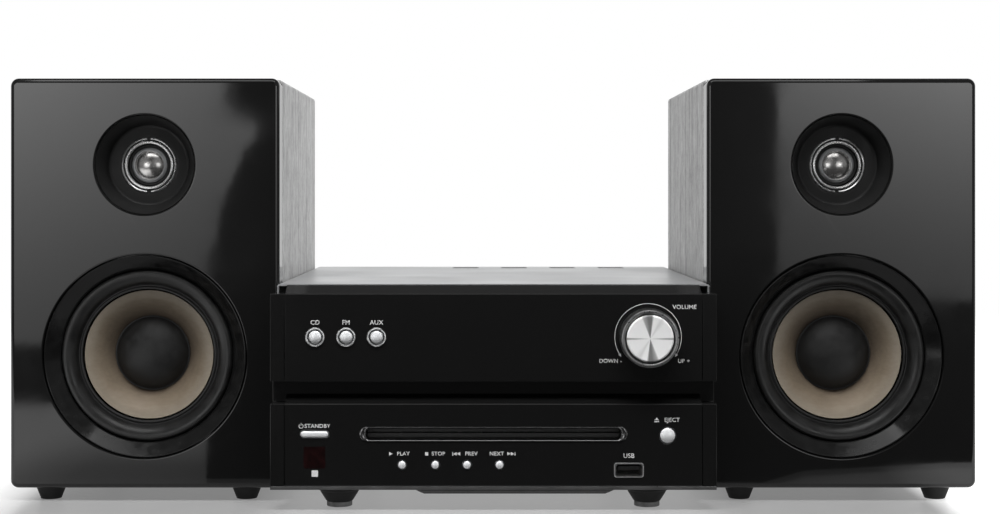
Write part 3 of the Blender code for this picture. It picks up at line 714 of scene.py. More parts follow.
def fascia_panel(node, cuts):
    """A gloss panel with a sloping top edge, softened where the slope starts."""
    low, high = box_mm(node)
    top = high.z - PANEL_BEVEL_RISE
    outline = [
        (0.0001, low.z), (0.0001, top), (high.y, high.z), (high.y, high.z - PANEL_BEVEL_WALL),
        (PANEL_WALL, top - PANEL_BEVEL_WALL + 0.8), (PANEL_WALL, low.z),
    ]
    shape = prism(eased(outline, 0.55, 5), low.x, high.x, "X")
    piece(node + "_skin", shape, "fascia", ORIGIN, node, cuts=cuts, edge=0.25)


def build_fascia():
    softened("front_frame", "fascia", 0.6)
    low, high = box_mm("front_frame")
    # The sill's grey is partly a painted highlight along the lower lip, and partly light caught by its
    # rounded edge.
    sill = eased([(0.05, 11.0), (0.05, 12.9), (1.3, 12.9), (1.3, 11.0)], 0.6, 5)
    lip = eased([(0.55, 12.2), (0.55, 8.9), (5.0, 8.9), (5.0, 12.2)], 2.2, 6)
    strip = prism(sill, low.x + 0.2, high.x - 0.2, "X")
    bulge = [
        ([(y, SILL_MIDDLE + (z - SILL_MIDDLE) * share) for y, z in lip], x) for x, share in SILL_BULGE
    ]
    piece("frame_sill", together([strip, lofted(bulge, "X")]), "sill", ORIGIN)
    knob = middle_of("volume_knob") / MM
    stem = turned(bar(4.0, *THROUGH_PANEL), SMALL, at=(knob.x, 0.0, knob.z))
    fascia_panel("upper_panel", [button_hole(node) for node in SOURCE_BUTTONS] + [stem])

    low, high = box_mm("slot_bezel")
    slot = middle_of("slot_bezel")
    usb = middle_of("usb_port")
    size = (high.x - low.x, high.z - low.z)
    cuts = [button_hole(node) for node in DISC_BUTTONS + ("standby_button", "eject_button")]
    outline = oblong([side - 0.2 for side in size], (slot.x / MM, slot.z / MM))
    cuts.append(prism(outline, *THROUGH_PANEL))
    cuts.append(prism(rounded_rectangle(USB_HOLE, 1.6, (usb.x / MM, usb.z / MM)), *THROUGH_PANEL))
    fascia_panel("lower_panel", cuts)
    build_slot(size, slot)
    build_usb(usb)


def build_slot(size, at):
    """The dark chrome surround of the disc slot, with felt lips behind it."""
    path = [
        (0.0, 0.3), (0.0, -0.2), (0.1, -0.5), (0.3, -0.6), (0.55, -0.35), (0.8, 0.4), (1.0, 1.4),
        (1.0, 8.0), (0.6, 8.0), (0.0, 6.0),
    ]
    sections = [
        (oblong([size[i] + (SLOT_INNER[i] - size[i]) * share for i in (0, 1)]), depth)
        for share, depth in path
    ]
    piece("slot_bezel_ring", lofted(sections, ring=True), "trim", at, "slot_bezel")
    half_x, half_z = SLOT_INNER[0] / 2 - 0.4, SLOT_INNER[1] / 2 - 0.15
    for name, edge, lip in (("upper", half_z, 0.35), ("lower", -half_z, -0.35)):
        outline = [(5.0, edge), (5.6, lip), (6.2, lip), (7.0, edge)]
        piece(f"slot_felt_{name}", prism(eased(outline, 0.25, 3), -half_x, half_x, "X"), "felt", at)


def build_usb(at):
    """The USB-A port: a pressed shell with a turned-out lip, and a tongue with four contacts."""
    path = [
        (15.2, 7.6, 0.3), (15.2, 7.6, -0.25), (14.8, 7.2, -0.5), (13.9, 6.3, -0.5), (13.7, 6.1, -0.2),
        (13.7, 6.1, 0.4), (12.5, 5.1, 1.4), (12.5, 5.1, 13.6), (13.3, 5.9, 13.6), (13.3, 5.9, 1.5),
    ]
    sections = [
        (rounded_rectangle((wide, tall), 0.14 * tall + 0.35, steps=3), depth) for wide, tall, depth in path
    ]
    piece("usb_shell", lofted(sections, ring=True), "port", at, "usb_port")
    piece("usb_tongue", block((-5.5, 5.5), (1.5, 12.0), (-0.1, 1.8)), "moulded", at, edge=0.15)
    piece("usb_back", block((-6.2, 6.2), (11.2, 13.4), (-2.5, 2.5)), "moulded", at, edge=0.1)
    contacts = [block((x - 0.5, x + 0.5), (2.2, 9.0), (-0.22, -0.08)) for x in (-3.6, -1.2, 1.2, 3.6)]
    piece("usb_contacts", together(contacts), "brass", at)


# Knob and buttons


def build_round_button(node):
    """A domed cap over a flange and stem."""
    low, high = box_mm(node)
    _, (_, radius) = button_place(node)
    cap, flange = radius - CAP_MARGIN, radius + FLANGE_LIP
    profile = dome(cap * 0.82, low.y + 0.2 * cap, low.y, 8) + [
        (cap, low.y + 0.36 * cap), (cap, FLANGE_FRONT), (flange, FLANGE_FRONT), (flange, FLANGE_BACK),
        (1.5, FLANGE_BACK), (1.5, high.y), (0.0, high.y),
    ]
    piece(node + "_cap", turned(profile, SMALL), "button", middle_of(node), node, node)
    return radius


def build_buttons():
    for node in SOURCE_BUTTONS:
        inner = build_round_button(node) + 0.28
        outer = inner + 1.02
        profile = [
            (inner, 0.4), (inner, -0.15), (inner + 0.35, -0.5), (outer - 0.25, -1.0), (outer, -0.75),
            (outer, 0.02), (inner + 0.3, 0.4),
        ]
        piece(node + "_ring", turned(eased(profile, 0.2), MEDIUM), "chrome", middle_of(node))
    for node in DISC_BUTTONS + ("eject_button",):
        build_round_button(node)

    node = "standby_button"
    low, high = box_mm(node)
    _, (half_x, half_z) = button_place(node)
    path = [
        (-1.4, low.y), (-1.1, low.y + 0.08), (-0.7, low.y + 0.3), (-CAP_MARGIN, low.y + 0.8),
        (-CAP_MARGIN, FLANGE_FRONT), (FLANGE_LIP, FLANGE_FRONT), (FLANGE_LIP, FLANGE_BACK),
        (0.0, FLANGE_BACK), (-0.6, high.y),
    ]
    sections = [(oblong((2 * (half_x + grow), 2 * (half_z + grow))), depth) for grow, depth in path]
    piece(node + "_cap", lofted(sections), "button", middle_of(node), node, node)


def build_knob():
    """A spun silver face in a groove, inside a broad rounded ring of dark chrome."""
    node = "volume_knob"
    low, high = box_mm(node)
    front, rim = low.y, (high.x - low.x) / 2
    face = [
        (0.0, front + 0.25), (6.0, front + 0.2), (11.2, front), (11.9, front + 0.45),
        (11.9, front + 1.8), (0.0, front + 1.8),
    ]
    shape = turned(eased(face, 0.3), LARGE)
    piece(node + "_face", shape, "knob_face", middle_of(node), body=node)
    ring = [
        (0.0, front + 2.1), (12.2, front + 2.1), (12.4, front + 1.4), (12.8, front + 0.4),
        (13.6, front), (14.4, front + 0.25), (rim - 0.2, front + 1.1), (rim, front + 2.6), (rim, -1.4),
        (rim - 0.5, -0.6), (3.0, -0.6), (3.0, high.y), (0.0, high.y),
    ]
    shape = turned(eased(ring, 0.6, 5), LARGE)
    piece(node + "_body", shape, "knob_ring", middle_of(node), node, node)


# Printing


INK_FRONT = -0.07
INK_BACK = 0.05


def word(text, x, height, size):
    """A printed word on the fascia, with its middle line at a height."""
    curve = bpy.data.curves.new("label", "FONT")
    curve.body = text
    curve.size = size * MM
    curve.align_x = "CENTER"
    curve.align_y = "CENTER"
    curve.offset = 0.012 * size * MM
    curve.extrude = (INK_BACK - INK_FRONT) / 2 * MM
    curve.space_character = 1.06
    temporary = in_scene("label", curve)
    bpy.context.view_layer.update()
    graph = bpy.context.evaluated_depsgraph_get()
    mesh = bpy.data.meshes.new_from_object(temporary.evaluated_get(graph))
    bpy.data.objects.remove(temporary)
    item = in_scene("label_" + "".join(letter for letter in text.lower() if letter.isalnum()), mesh)
    item.rotation_euler = (math.radians(90), 0.0, 0.0)
    item.location = spot(x, (INK_BACK + INK_FRONT) / 2, height)
    bpy.context.view_layer.update()
    item.data.transform(item.matrix_basis)
    item.matrix_basis.identity()
    finish_piece(item, "ink", UNIT)


def mark(name, outlines, x, height):
    """Printed shapes on the fascia, drawn about a place."""
    shapes = [
        prism([(x + across, height + up) for across, up in outline], INK_FRONT, INK_BACK)
        for outline in outlines
    ]
    piece(name, together(shapes), "ink", ORIGIN)


def triangle(x, width, tall):
    """An outline that points right, or left where its width is negative."""
    return [(x, -tall / 2), (x + width, 0.0), (x, tall / 2)]


def upright(x, width, tall, rise=0.0):
    """A rectangle's outline, from its left edge."""
    low, high = rise - tall / 2, rise + tall / 2
    return [(x, low), (x + width, low), (x + width, high), (x, high)]


def band(centre, radius, width, start, end, steps=24):
    """The outline of a stretch of a ring."""
    outside = arc(centre, radius + width / 2, start, end, steps)
    inside = arc(centre, radius - width / 2, end, start, steps)
    return outside + inside


# Each button's word, how far it is to the right and above, its size, and the mark beside it
BUTTON_PRINTS = {
    "cd_button": ("CD", 0.0, 7.3, 3.2, []),
    "fm_button": ("FM", 0.0, 7.3, 3.2, []),
    "aux_button": ("AUX", 0.0, 7.3, 3.2, []),
    "play_button": ("PLAY", 0.6, 5.6, 2.75, [triangle(-6.6, 1.9, 2.1)]),
    "stop_button": ("STOP", 1.6, 5.6, 2.75, [upright(-5.2, 1.7, 1.7)]),
    "previous_button": ("PREV", 2.2, 5.6, 2.75, [
        triangle(-3.4, -1.8, 1.9), triangle(-5.2, -1.8, 1.9), upright(-7.5, 0.4, 1.9),
    ]),
    "next_button": ("NEXT", -1.4, 5.6, 2.75, [
        triangle(4.0, 1.8, 1.9), triangle(5.8, 1.8, 1.9), upright(7.7, 0.4, 1.9),
    ]),
    "eject_button": ("EJECT", 2.2, 7.9, 2.95, [
        [(-6.9, -0.1), (-4.3, -0.1), (-5.6, 1.3)], upright(-6.9, 2.6, 0.5, -0.8),
    ]),
    "standby_button": ("STANDBY", 1.5, 4.1, 2.85, [
        band((-6.8, 0.0), 1.05, 0.36, 120, 420), upright(-6.98, 0.36, 1.4, 0.9),
    ]),
}
ARC_RADIUS = 17.0
ARC_ENDS = (-31.0, 211.0)


def build_printing():
    for node, (text, right, above, size, outlines) in BUTTON_PRINTS.items():
        (x, height), _ = button_place(node)
        word(text, x + right, height + above, size)
        if outlines:
            mark("mark_" + node.replace("_button", ""), outlines, x, height + above)
    low, high = box_mm("usb_port")
    word("USB", (low.x + high.x) / 2, high.z + 2.8, 3.2)

    (x, height), _ = button_place("standby_button")
    mark("mark_sensor", [rounded_rectangle((3.3, 3.3), 0.3, (0.2, -20.1), 3)], x, height)
    window = prism(rounded_rectangle((11.0, 11.0), 0.8, (x, height - 11.9)), -0.12, 0.05)
    piece("receiver_window", window, "red", ORIGIN)

    knob = middle_of("volume_knob") / MM
    arrows = []
    for angle, turn in zip(ARC_ENDS, (-1, 1)):
        out = Vector((math.cos(math.radians(angle)), math.sin(math.radians(angle))))
        along = Vector((-out.y, out.x)) * turn
        tip = out * ARC_RADIUS
        arrows.append([tip - out * 0.75, tip + out * 0.75, tip + along * 1.7])
    mark("volume_arc", [band((0.0, 0.0), ARC_RADIUS, 0.3, *ARC_ENDS, 72)], knob.x, knob.z)
    mark("volume_arrows", arrows, knob.x, knob.z)
    for text, right, above, size in (
        ("VOLUME", 18.6, 15.2, 3.0), ("DOWN -", -19.2, -12.3, 2.8), ("UP +", 18.2, -12.3, 2.8),
    ):
        word(text, knob.x + right, knob.z + above, size)


# Case and back


def screw(name, at, axis, body=UNIT, radius=2.6, height=1.2):
    """A pan-head screw with a cross recess. The head stands out along the axis's sign."""
    letter, sign = axis[1], 1 if axis[0] == "+" else -1
    profile = [(0.0, 0.0), (radius, 0.0), (radius, 0.45 * height), (0.7 * radius, height), (0.0, height)]
    shape = turned([(r, sign * along) for r, along in eased(profile, 0.35)], 28, letter)
    reach, wide = 0.55 * radius, 0.13 * radius
    recess = sorted((sign * 0.45 * height, sign * (height + 1.0)))
    cuts = [
        prism([(-across, -up), (across, -up), (across, up), (-across, up)], *recess, letter)
        for across, up in ((reach, wide), (wide, reach))
    ]
    piece(name, shape, "screw", at, body=body, cuts=cuts)


VENT = (16.0, 2.6)


def build_cover():
    """The folded cover, with rounded bends, round-ended vents and its screws."""
    low, high = box_mm("top_cover")
    wall, bend, steps = 1.0, 1.8, 6
    inner_x, inner_top = high.x - wall, high.z - wall
    outline = [
        (-high.x, low.z), *arc((-high.x + bend, high.z - bend), bend, 180, 90, steps),
        *arc((high.x - bend, high.z - bend), bend, 90, 0, steps), (high.x, low.z), (inner_x, low.z),
        *arc((inner_x - bend + wall, inner_top - bend + wall), bend - wall, 0, 90, steps),
        *arc((-inner_x + bend - wall, inner_top - bend + wall), bend - wall, 90, 180, steps),
        (-inner_x, low.z),
    ]
    frame_high = box_mm("front_frame")[1]
    skirt = block((-130.0, 130.0), (low.y - 5.0, frame_high.y + 0.3), (0.0, frame_high.z + 2.9))
    places = [(x, high.y - back) for x in (-16.4, 14.2, 44.8, 75.5) for back in (20.0, 14.0, 8.0)]
    vents = [prism(oblong(VENT, place, 6), high.z - 4.0, high.z + 4.0, "Z") for place in places]
    piece(
        "top_cover_skin", prism(outline, low.y, high.y), "silver", ORIGIN, "top_cover",
        cuts=(skirt, together(vents)), edge=0.18, bend=50,
    )

    # Painted shade: black liners round the top of each vent and down inside it, dark rings that stand in for
    # the shade in the vent openings.
    path = [(0.6, 0.03), (0.6, -0.02), (-0.1, -0.02), (-0.1, -1.5), (-0.9, -1.5), (-0.9, 0.03)]
    long, wide = VENT
    shade_liners = []
    for place in places:
        sections = [(oblong((long + grow, wide + grow), place, 6), high.z + rise) for grow, rise in path]
        shade_liners.append(lofted(sections, "Z", ring=True))
    piece("vent_shade_liners", together(shade_liners), "moulded", ORIGIN)
    for place, depth in (("front", 40.0), ("rear", 190.0)):
        for name, x, axis in (("left", low.x, "-X"), ("right", high.x, "+X")):
            screw(f"cover_screw_{name}_{place}", spot(x, depth, 27.0), axis, radius=2.9)


PHONO_SOCKETS = {
    "speaker_right": (20.0, 28.0, "red_plastic"),
    "speaker_left": (34.0, 28.0, "white_plastic"),
    "aux_right": (20.0, 42.0, "red_plastic"),
    "aux_left": (34.0, 42.0, "white_plastic"),
}
AERIAL_PLACE = (58.0, 0.0, 35.0)
SOCKET_FRONT = 221.8


def build_rear():
    softened("rear_panel", "rear_paint", 0.2)
    softened("chassis_tray", "tray", 0.2)
    low, high = box_mm("rear_panel")
    for name, x in (("left", low.x + 8.0), ("middle", 0.0), ("right", high.x - 8.0)):
        for row, height in (("top", high.z - 7.0), ("bottom", low.z + 5.0)):
            screw(f"rear_screw_{row}_{name}", spot(x, high.y, height), "+Y")

    inlet = middle_of("mains_inlet")
    mouth = rounded_rectangle((18.0, 9.2), 4.5, (inlet.x / MM, inlet.z / MM), 8)
    softened("mains_inlet", "moulded", 0.35, [prism(mouth, ORIGIN.y / MM + 213.0, 200.0)])
    pins = [turned(eased(bar(1.2, 212.5, 224.0), 0.5), 24, at=(x, 0.0, 0.0)) for x in (-4.3, 4.3)]
    piece("mains_inlet_pins", together(pins), "nickel", inlet)
    build_sockets(high.y)


def phono_socket(name, at, depth, look, body=UNIT):
    """A phono socket: a coloured ring in the panel, and a nickel barrel."""
    collar = [(4.2, depth), (5.9, depth), (5.9, depth + 1.1), (4.2, depth + 1.6)]
    piece(f"{name}_collar", turned(eased(collar, 0.3), MEDIUM), look, at, body=body)
    barrel = [
        (1.75, depth + 1.0), (4.0, depth + 1.0), (4.15, depth + 1.4), (4.15, depth + 8.4),
        (3.8, depth + 8.9), (3.1, depth + 8.9), (3.1, depth + 7.6), (1.75, depth + 7.6),
    ]
    piece(f"{name}_barrel", turned(eased(barrel, 0.15, 3), SMALL), "nickel", at, body=body)


def build_sockets(panel_back):
    low, high = box_mm("socket_block")
    shape = block((low.x, high.x), (low.y, SOCKET_FRONT), (low.z, high.z))
    piece("socket_block_body", shape, "moulded", ORIGIN, "socket_block", edge=0.5)
    for name, (x, height, look) in PHONO_SOCKETS.items():
        phono_socket(name, spot(x, 0.0, height), panel_back, look)
    at = spot(*AERIAL_PLACE)
    shell = [
        (3.6, SOCKET_FRONT), (5.2, SOCKET_FRONT), (5.2, panel_back + 0.8), (4.75, panel_back + 1.0),
        (4.75, high.y), (3.6, high.y),
    ]
    piece("aerial_socket_shell", turned(eased(shell, 0.2, 3), MEDIUM), "nickel", at)
    pin = turned(eased(bar(0.8, SOCKET_FRONT - 0.8, high.y - 1.0), 0.3), 20)
    piece("aerial_socket_pin", pin, "brass", at)


def build_foot(node, suffix, body, ease, profile, rim):
    """A turned foot in a CAD foot's place, from the profile of its underside and its rim's radius."""
    low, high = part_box(node)
    at = Vector(((low.x + high.x) / 2, (low.y + high.y) / 2, 0.0))
    top = high.z / MM
    profile = profile + [(rim, top), (0.0, top)]
    piece(node + suffix, turned(eased(profile, ease), MEDIUM, "Z"), "rubber", at, node, body)
    return at


def build_unit_feet():
    """Moulded feet that narrow towards grey pads."""
    for node in [f"unit_foot_{row}_{side}" for row in ("front", "rear") for side in SIDES]:
        profile = [(0.0, 2.7), (6.9, 2.7), (7.4, 3.4), (9.9, 7.4), (10.2, 8.2), (11.5, 8.8)]
        at = build_foot(node, "_body", UNIT, 0.4, profile, 11.5)
        piece(node + "_pad", turned(eased(bar(6.6, 0.0, 2.6), 0.4), MEDIUM, "Z"), "pad", at)


# Speakers


WOOFER_OPENING = [
    (0.0, -2.0), (55.4, -2.0), (54.7, 0.0), (54.05, 0.25), (53.7, 0.9), (53.7, 8.3), (48.5, 8.3),
    (48.5, 20.0), (0.0, 20.0),
]
TWEETER_OPENING = [
    (0.0, -2.0), (28.3, -2.0), (27.4, 0.0), (26.8, 0.2), (26.3, 0.8), (21.9, 11.8), (32.5, 11.8),
    (32.5, 20.0), (0.0, 20.0),
]


def build_baffle(side, body):
    """A lacquered board with rounded edges and softly flared openings."""
    node = f"{side}_baffle"
    low, high = box_mm(node, WORLD)
    at = middle_of(node, BAFFLE_Y)
    corner, ease, steps = 4.2, 2.6, 8
    sections = []
    for step in range(steps + 1):
        angle = math.pi / 2 * step / steps
        inset = ease * (1 - math.sin(angle))
        size = (high.x - low.x - 2 * inset, high.z - low.z - 2 * inset)
        sections.append((rounded_rectangle(size, corner - inset, steps=8), ease * (1 - math.cos(angle))))
    sections.append((sections[-1][0], high.y - low.y))
    openings = ((f"{side}_woofer_basket", WOOFER_OPENING), (f"{side}_tweeter_body", TWEETER_OPENING))
    cuts = [
        turned(profile, LARGE, at=(0.0, 0.0, (middle_of(driver, BAFFLE_Y).z - at.z) / MM))
        for driver, profile in openings
    ]
    piece(node + "_board", lofted(sections), "lacquer", at, node, body, cuts, angle=30)


def build_cabinet(side, body):
    """The vinyl-wrapped box, with a chamfered front edge where it meets the baffle."""
    node = f"{side}_cabinet"
    low, high = box_mm(node, WORLD)
    wide, depth, tall = high - low
    at = Vector(((low.x + high.x) / 2, low.y, (low.z + high.z) / 2)) * MM
    wall, corner, bend = 12.0, 2.0, 3.0
    path = [(-1.0, 0.0), (0.0, 0.9)]
    path += [(across - bend, depth - bend + along) for across, along in arc((0.0, 0.0), bend, 0, 90, 6)]
    sections = []
    for grow, along in path:
        outline = rounded_rectangle((wide + 2 * grow, tall + 2 * grow), corner + 0.4 * grow, steps=6)
        sections.append((outline, along))
    half_x, half_z = wide / 2 - wall, tall / 2 - wall
    inside = block((-half_x, half_x), (-5.0, depth - wall), (-half_z, half_z))
    cup = (middle_of(f"{side}_terminal_cup").z - at.z) / MM
    hole = block((-28.0, 28.0), (depth - 20.0, depth + 5.0), (cup - 23.0, cup + 23.0))
    piece(node + "_box", lofted(sections), "vinyl", at, node, body, (inside, hole), angle=30)


def build_cup(side, body):
    """The dished terminal cup in the cabinet's back, with its phono socket and screws."""
    node = f"{side}_terminal_cup"
    low, high = box_mm(node, WORLD)
    at = middle_of(node, 0.0)
    front, back = low.y, high.y
    path = [
        ((54.0, 44.0), front, 3.0), ((54.0, 44.0), back - 2.0, 3.0), ((64.0, 54.0), back - 2.0, 4.0),
        ((64.0, 54.0), back - 0.5, 4.0), ((63.0, 53.0), back, 3.5), ((52.0, 42.0), back, 3.0),
        ((50.0, 40.0), back - 1.2, 3.0), ((46.0, 36.0), front + 2.4, 4.0), ((44.0, 34.0), front + 2.0, 4.0),
    ]
    shape = lofted([(rounded_rectangle(size, radius), along) for size, along, radius in path])
    piece(node + "_moulding", shape, "moulded", at, node, body, edge=0.25)
    phono_socket(f"{side}_speaker_input", at, front + 2.0, "red_plastic", body)
    corners = [(x, z) for x in (-28.0, 28.0) for z in (-23.0, 23.0)]
    for number, (x, z) in enumerate(corners, 1):
        place = at + Vector((x, back, z)) * MM
        screw(f"{side}_cup_screw_{number}", place, "+Y", body, 2.4, 1.0)


def build_speaker_feet(side, body):
    """Soft feet, dished underneath."""
    for node in [f"{side}_foot_{row}_{hand}" for row in ("front", "rear") for hand in SIDES]:
        build_foot(node, "_rubber", body, 0.25, [(0.0, 0.35), (3.2, 0.35), (3.5, 0.0), (5.4, 0.0)], 8.0)


def build_woofer(side, body):
    moving = f"{side}_woofer"
    node = moving + "_basket"
    at = middle_of(node, BAFFLE_Y)
    basket = [
        (45.7, 7.4), (52.7, 1.0), (53.1, 0.9), (53.4, 1.4), (53.4, 8.0), (47.9, 8.0), (47.9, 15.5),
        (34.0, 49.5), (34.0, 52.0), (15.0, 52.0), (15.0, 50.3), (32.6, 50.3), (46.3, 15.1), (45.7, 9.6),
    ]
    length, width = (-60.0, 60.0), (-13.0, 13.0)
    windows = [block(length, (21.5, 43.5), width), block(width, (21.5, 43.5), length)]
    shape = turned(eased(basket, 0.3, 3), LARGE)
    piece(node + "_pressing", shape, "flange", at, node, body, windows)
    build_surround(moving, at)

    cone = [
        (34.4, 12.1), (30.5, 13.5), (26.5, 16.3), (23.0, 19.6), (20.2, 23.0), (16.0, 29.0),
        (12.6, 35.5), (12.6, 63.5), (13.6, 63.5), (13.6, 36.6), (17.0, 29.8), (21.2, 23.8),
        (24.0, 20.5), (27.3, 17.4), (31.0, 14.7), (34.4, 13.3),
    ]
    node = moving + "_cone"
    piece(node + "_paper", turned(eased(cone, 1.6, 5), LARGE), "paper", at, node, moving)
    rim = [(19.5, 22.4), (20.1, 22.5), (20.05, 22.75), (19.3, 22.9)]
    shape = turned(dome(19.3, 22.3, 13.2, 14) + rim + dome(18.6, 22.8, 14.0, 14)[::-1], LARGE)
    node = moving + "_cap"
    piece(node + "_cloth", shape, "cloth", at, node, moving)


def build_surround(moving, at):
    """The half roll, glued between the basket and the cone."""
    middle, outer_y, inner_y, steps = 41.3, 7.6, 11.0, 20
    front, back = [], []
    for step in range(steps + 1):
        angle = math.pi * step / steps
        lean = (outer_y + inner_y) / 2 + (outer_y - inner_y) / 2 * math.cos(angle)
        front.append((middle + 3.85 * math.cos(angle), lean - 3.0 * math.sin(angle)))
        back.append((middle + 3.15 * math.cos(angle), lean + 0.7 - 3.0 * math.sin(angle)))
    lip = [(37.1, 11.4), (36.6, 11.3), (36.2, 10.8), (35.4, 10.7), (35.0, 11.1)]
    front = [(45.3, outer_y)] + front + lip
    back = [(45.3, outer_y + 0.8)] + back + [(35.0, inner_y + 0.9)]
    node = moving + "_surround"
    material, slot = LOOKS["surround"]
    item = new_object(node + "_roll", turned(front + back[::-1], LARGE))
    item.location = at
    item.data.shade_smooth()
    item.data.materials.append(material)
    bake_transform(item)
    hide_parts(node)


def build_tweeter(side, body):
    moving = f"{side}_tweeter"
    node = moving + "_body"
    at = middle_of(node, BAFFLE_Y)
    plate = [
        (0.0, 15.6), (12.6, 15.6), (12.7, 12.6), (13.4, 12.3), (16.0, 12.15), (20.4, 12.5),
        (21.4, 12.0), (25.75, 1.15), (26.0, 0.8), (26.1, 1.1), (21.8, 11.85), (32.0, 12.1),
        (32.0, 14.6), (22.0, 14.6), (22.0, 36.0), (0.0, 36.0),
    ]
    shape = turned(eased(plate, 0.4, 3), LARGE)
    piece(node + "_plate", shape, "faceplate", at, node, body)
    inner = [(11.3, 13.4), (11.5, 12.2), (12.1, 11.4), (12.9, 11.7), (13.0, 13.4)]
    piece(moving + "_inner_ring", turned(eased(inner, 0.3), LARGE), "ring", at, body=body)
    outer = [(13.75, 12.4), (13.8, 11.9), (14.3, 11.5), (14.8, 11.9), (14.85, 12.4)]
    halves = []
    for start in (94.0, 274.0):
        turns = arc((0.0, 0.0), 1.0, start, start + 172.0, 40)
        halves.append(swept([[(x * radius, depth, z * radius) for radius, depth in outer] for x, z in turns]))
    piece(moving + "_outer_ring", together(halves), "ring", at, body=body)

    node = moving + "_dome"
    shape = turned(dome(7.7, 13.3, 10.6, 20) + dome(7.4, 14.1, 11.4, 12)[::-1], LARGE)
    piece(node + "_metal", shape, "dome", at, node, moving)
    skirt = [(7.5, 13.5), (7.8, 13.25), (8.5, 13.35), (9.5, 14.1), (9.6, 14.6), (7.5, 14.2)]
    roll = [(9.5, 14.4), (10.1, 14.0), (10.9, 14.0), (11.5, 14.5), (12.2, 14.5), (12.2, 15.0), (9.5, 15.0)]
    for name, look, profile in (("_skirt", "skirt", skirt), ("_roll", "faceplate", roll)):
        piece(moving + name, turned(eased(profile, 0.3, 3), LARGE), look, at, body=moving)


# Inner CAD pieces


# The CAD pieces that show as they are
KEPT = {
    "control_board": "board",
    "main_board": "board",
    "heat_sink": "aluminium",
    "transformer": "core",
    "disc_frame": "tray",
    "disc_roller": "roller",
    "disc_turntable": "moulded",
    "laser_sled": "moulded",
    "left_woofer_magnet": "ferrite",
    "right_woofer_magnet": "ferrite",
}


def dress_inner_pieces():
    for node, look in KEPT.items():
        material = LOOKS[look][0]
        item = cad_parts[node]
        if not item.material_slots:
            item.data.materials.append(material)
        for material_slot in item.material_slots:
            material_slot.material = material


# Set


WHITE = (1.0, 1.0, 1.0, 1.0)
# How strongly the floor glows along its back and its front, at places across in metres. The low values under
# and in front of the speakers and the unit are painted shadow
FLOOR_PLACES = (-0.30, -0.265, -0.24, -0.13, -0.105, 0.105, 0.13, 0.226, 0.24, 0.265)
FLOOR_GLOW_AND_SHADOWS = (
    (1.0, 0.5, 0.19, 0.19, 0.28, 0.28, 0.19, 0.19, 0.8, 1.0),
    (1.0, 0.3, 0.012, 0.012, 0.16, 0.16, 0.012, 0.012, 0.4, 1.0),
)
CARD_Y = -1.0
CARD_TOP = 0.34
CARD_OUTER = 0.75
CARD_EDGE = (
    (-0.303, 0.0), (-0.300, 0.093), (-0.292, 0.114), (-0.287, 0.146), (-0.280, 0.168),
    (-0.270, 0.189), (-0.262, 0.210), (-0.248, 0.226), (-0.248, 0.240), (-0.273, 0.248),
    (-0.284, 0.262), (-0.280, 0.280), (-0.280, CARD_TOP),
)
CLOTH_HEIGHT = 0.002
CLOTH_OUTLINE = (
    (-0.161, -0.143), (-0.218, -0.49), (-1.5, -0.49), (-1.5, -4.0), (1.5, -4.0), (1.5, -0.205),
    (0.27, -0.20), (0.18, -0.17), (0.15, -0.13),
)


def staged(name, shape, look):
    item = new_object(name, shape)
    item.data.materials.append(look)
    return item


def floor_with_painted_shadows():
    """Pale satin table that glows, with painted shadow where the system stands on it and in front of it, and
    that melts into the white round it.
    """
    look = Look("pale_floor", grey(0.2), 0.3)
    where = look.axes()
    mottle = look.noise(25.0, 4.0)
    look.paint(mottle, (0.3, grey(0.188)), (0.7, grey(0.204)))
    look.rough(mottle, 0.3, 0.32)
    across = look.between(where["X"], 0.0, 1.0, -0.3, 0.3)
    # Painted shadow: the floor's glow dims under the speakers and the unit, and dims further in front of
    # them.
    rows = [
        look.colours(across, *[(x / 0.6 + 0.5, grey(light)) for x, light in zip(FLOOR_PLACES, lights)])
        for lights in FLOOR_GLOW_AND_SHADOWS
    ]
    front = look.between(where["Y"], 1.0, 0.0, -0.16, -0.12)
    away = look.between(look.maths("ABSOLUTE", where["Y"]), 0.0, 1.0, 0.2, 0.4)
    under = look.node("ShaderNodeMixRGB", {"Fac": front, "Color1": rows[0], "Color2": rows[1]})["Color"]
    light = look.node("ShaderNodeMixRGB", {"Fac": away, "Color1": under, "Color2": WHITE})["Color"]
    look.set("Emission Color", light)
    look.set("Emission Strength", 1.0)
    share = look.between(look.length(look.coordinates()), 0.0, 1.0, 0.55, 1.5)
    clear = look.node("ShaderNodeBsdfTransparent")[0]
    look.surface(look.node("ShaderNodeMixShader", {0: share, 1: look.shader.outputs[0], 2: clear})[0])
    return look.material


def glow(name, base, rise=0.0, power=1.0):
    """A card's light, stronger towards its top and its outer edge."""
    look = Look(name, grey(0.0), 1.0)
    where = look.axes()
    up = look.between(where["Z"], 0.0, 1.1, 0.0, 0.288)
    strength = look.maths("ADD", look.maths("MULTIPLY", look.maths("POWER", up, power), rise), base)
    outwards = look.between(look.maths("ABSOLUTE", where["X"]), 0.62, 1.0, 0.293, 0.505)
    strength = look.maths("MULTIPLY", strength, outwards)
    look.surface(look.node("ShaderNodeEmission", {"Color": WHITE, "Strength": strength})[0])
    return look.material


def flat_card(name, points, look):
    """A flat card in metres, which the camera doesn't see and which casts no shadow."""
    bm = bmesh.new()
    bm.faces.new([bm.verts.new(Vector(point) / MM) for point in points])
    card = staged(name, bm, look)
    card.visible_camera = False
    card.visible_shadow = False
    return card


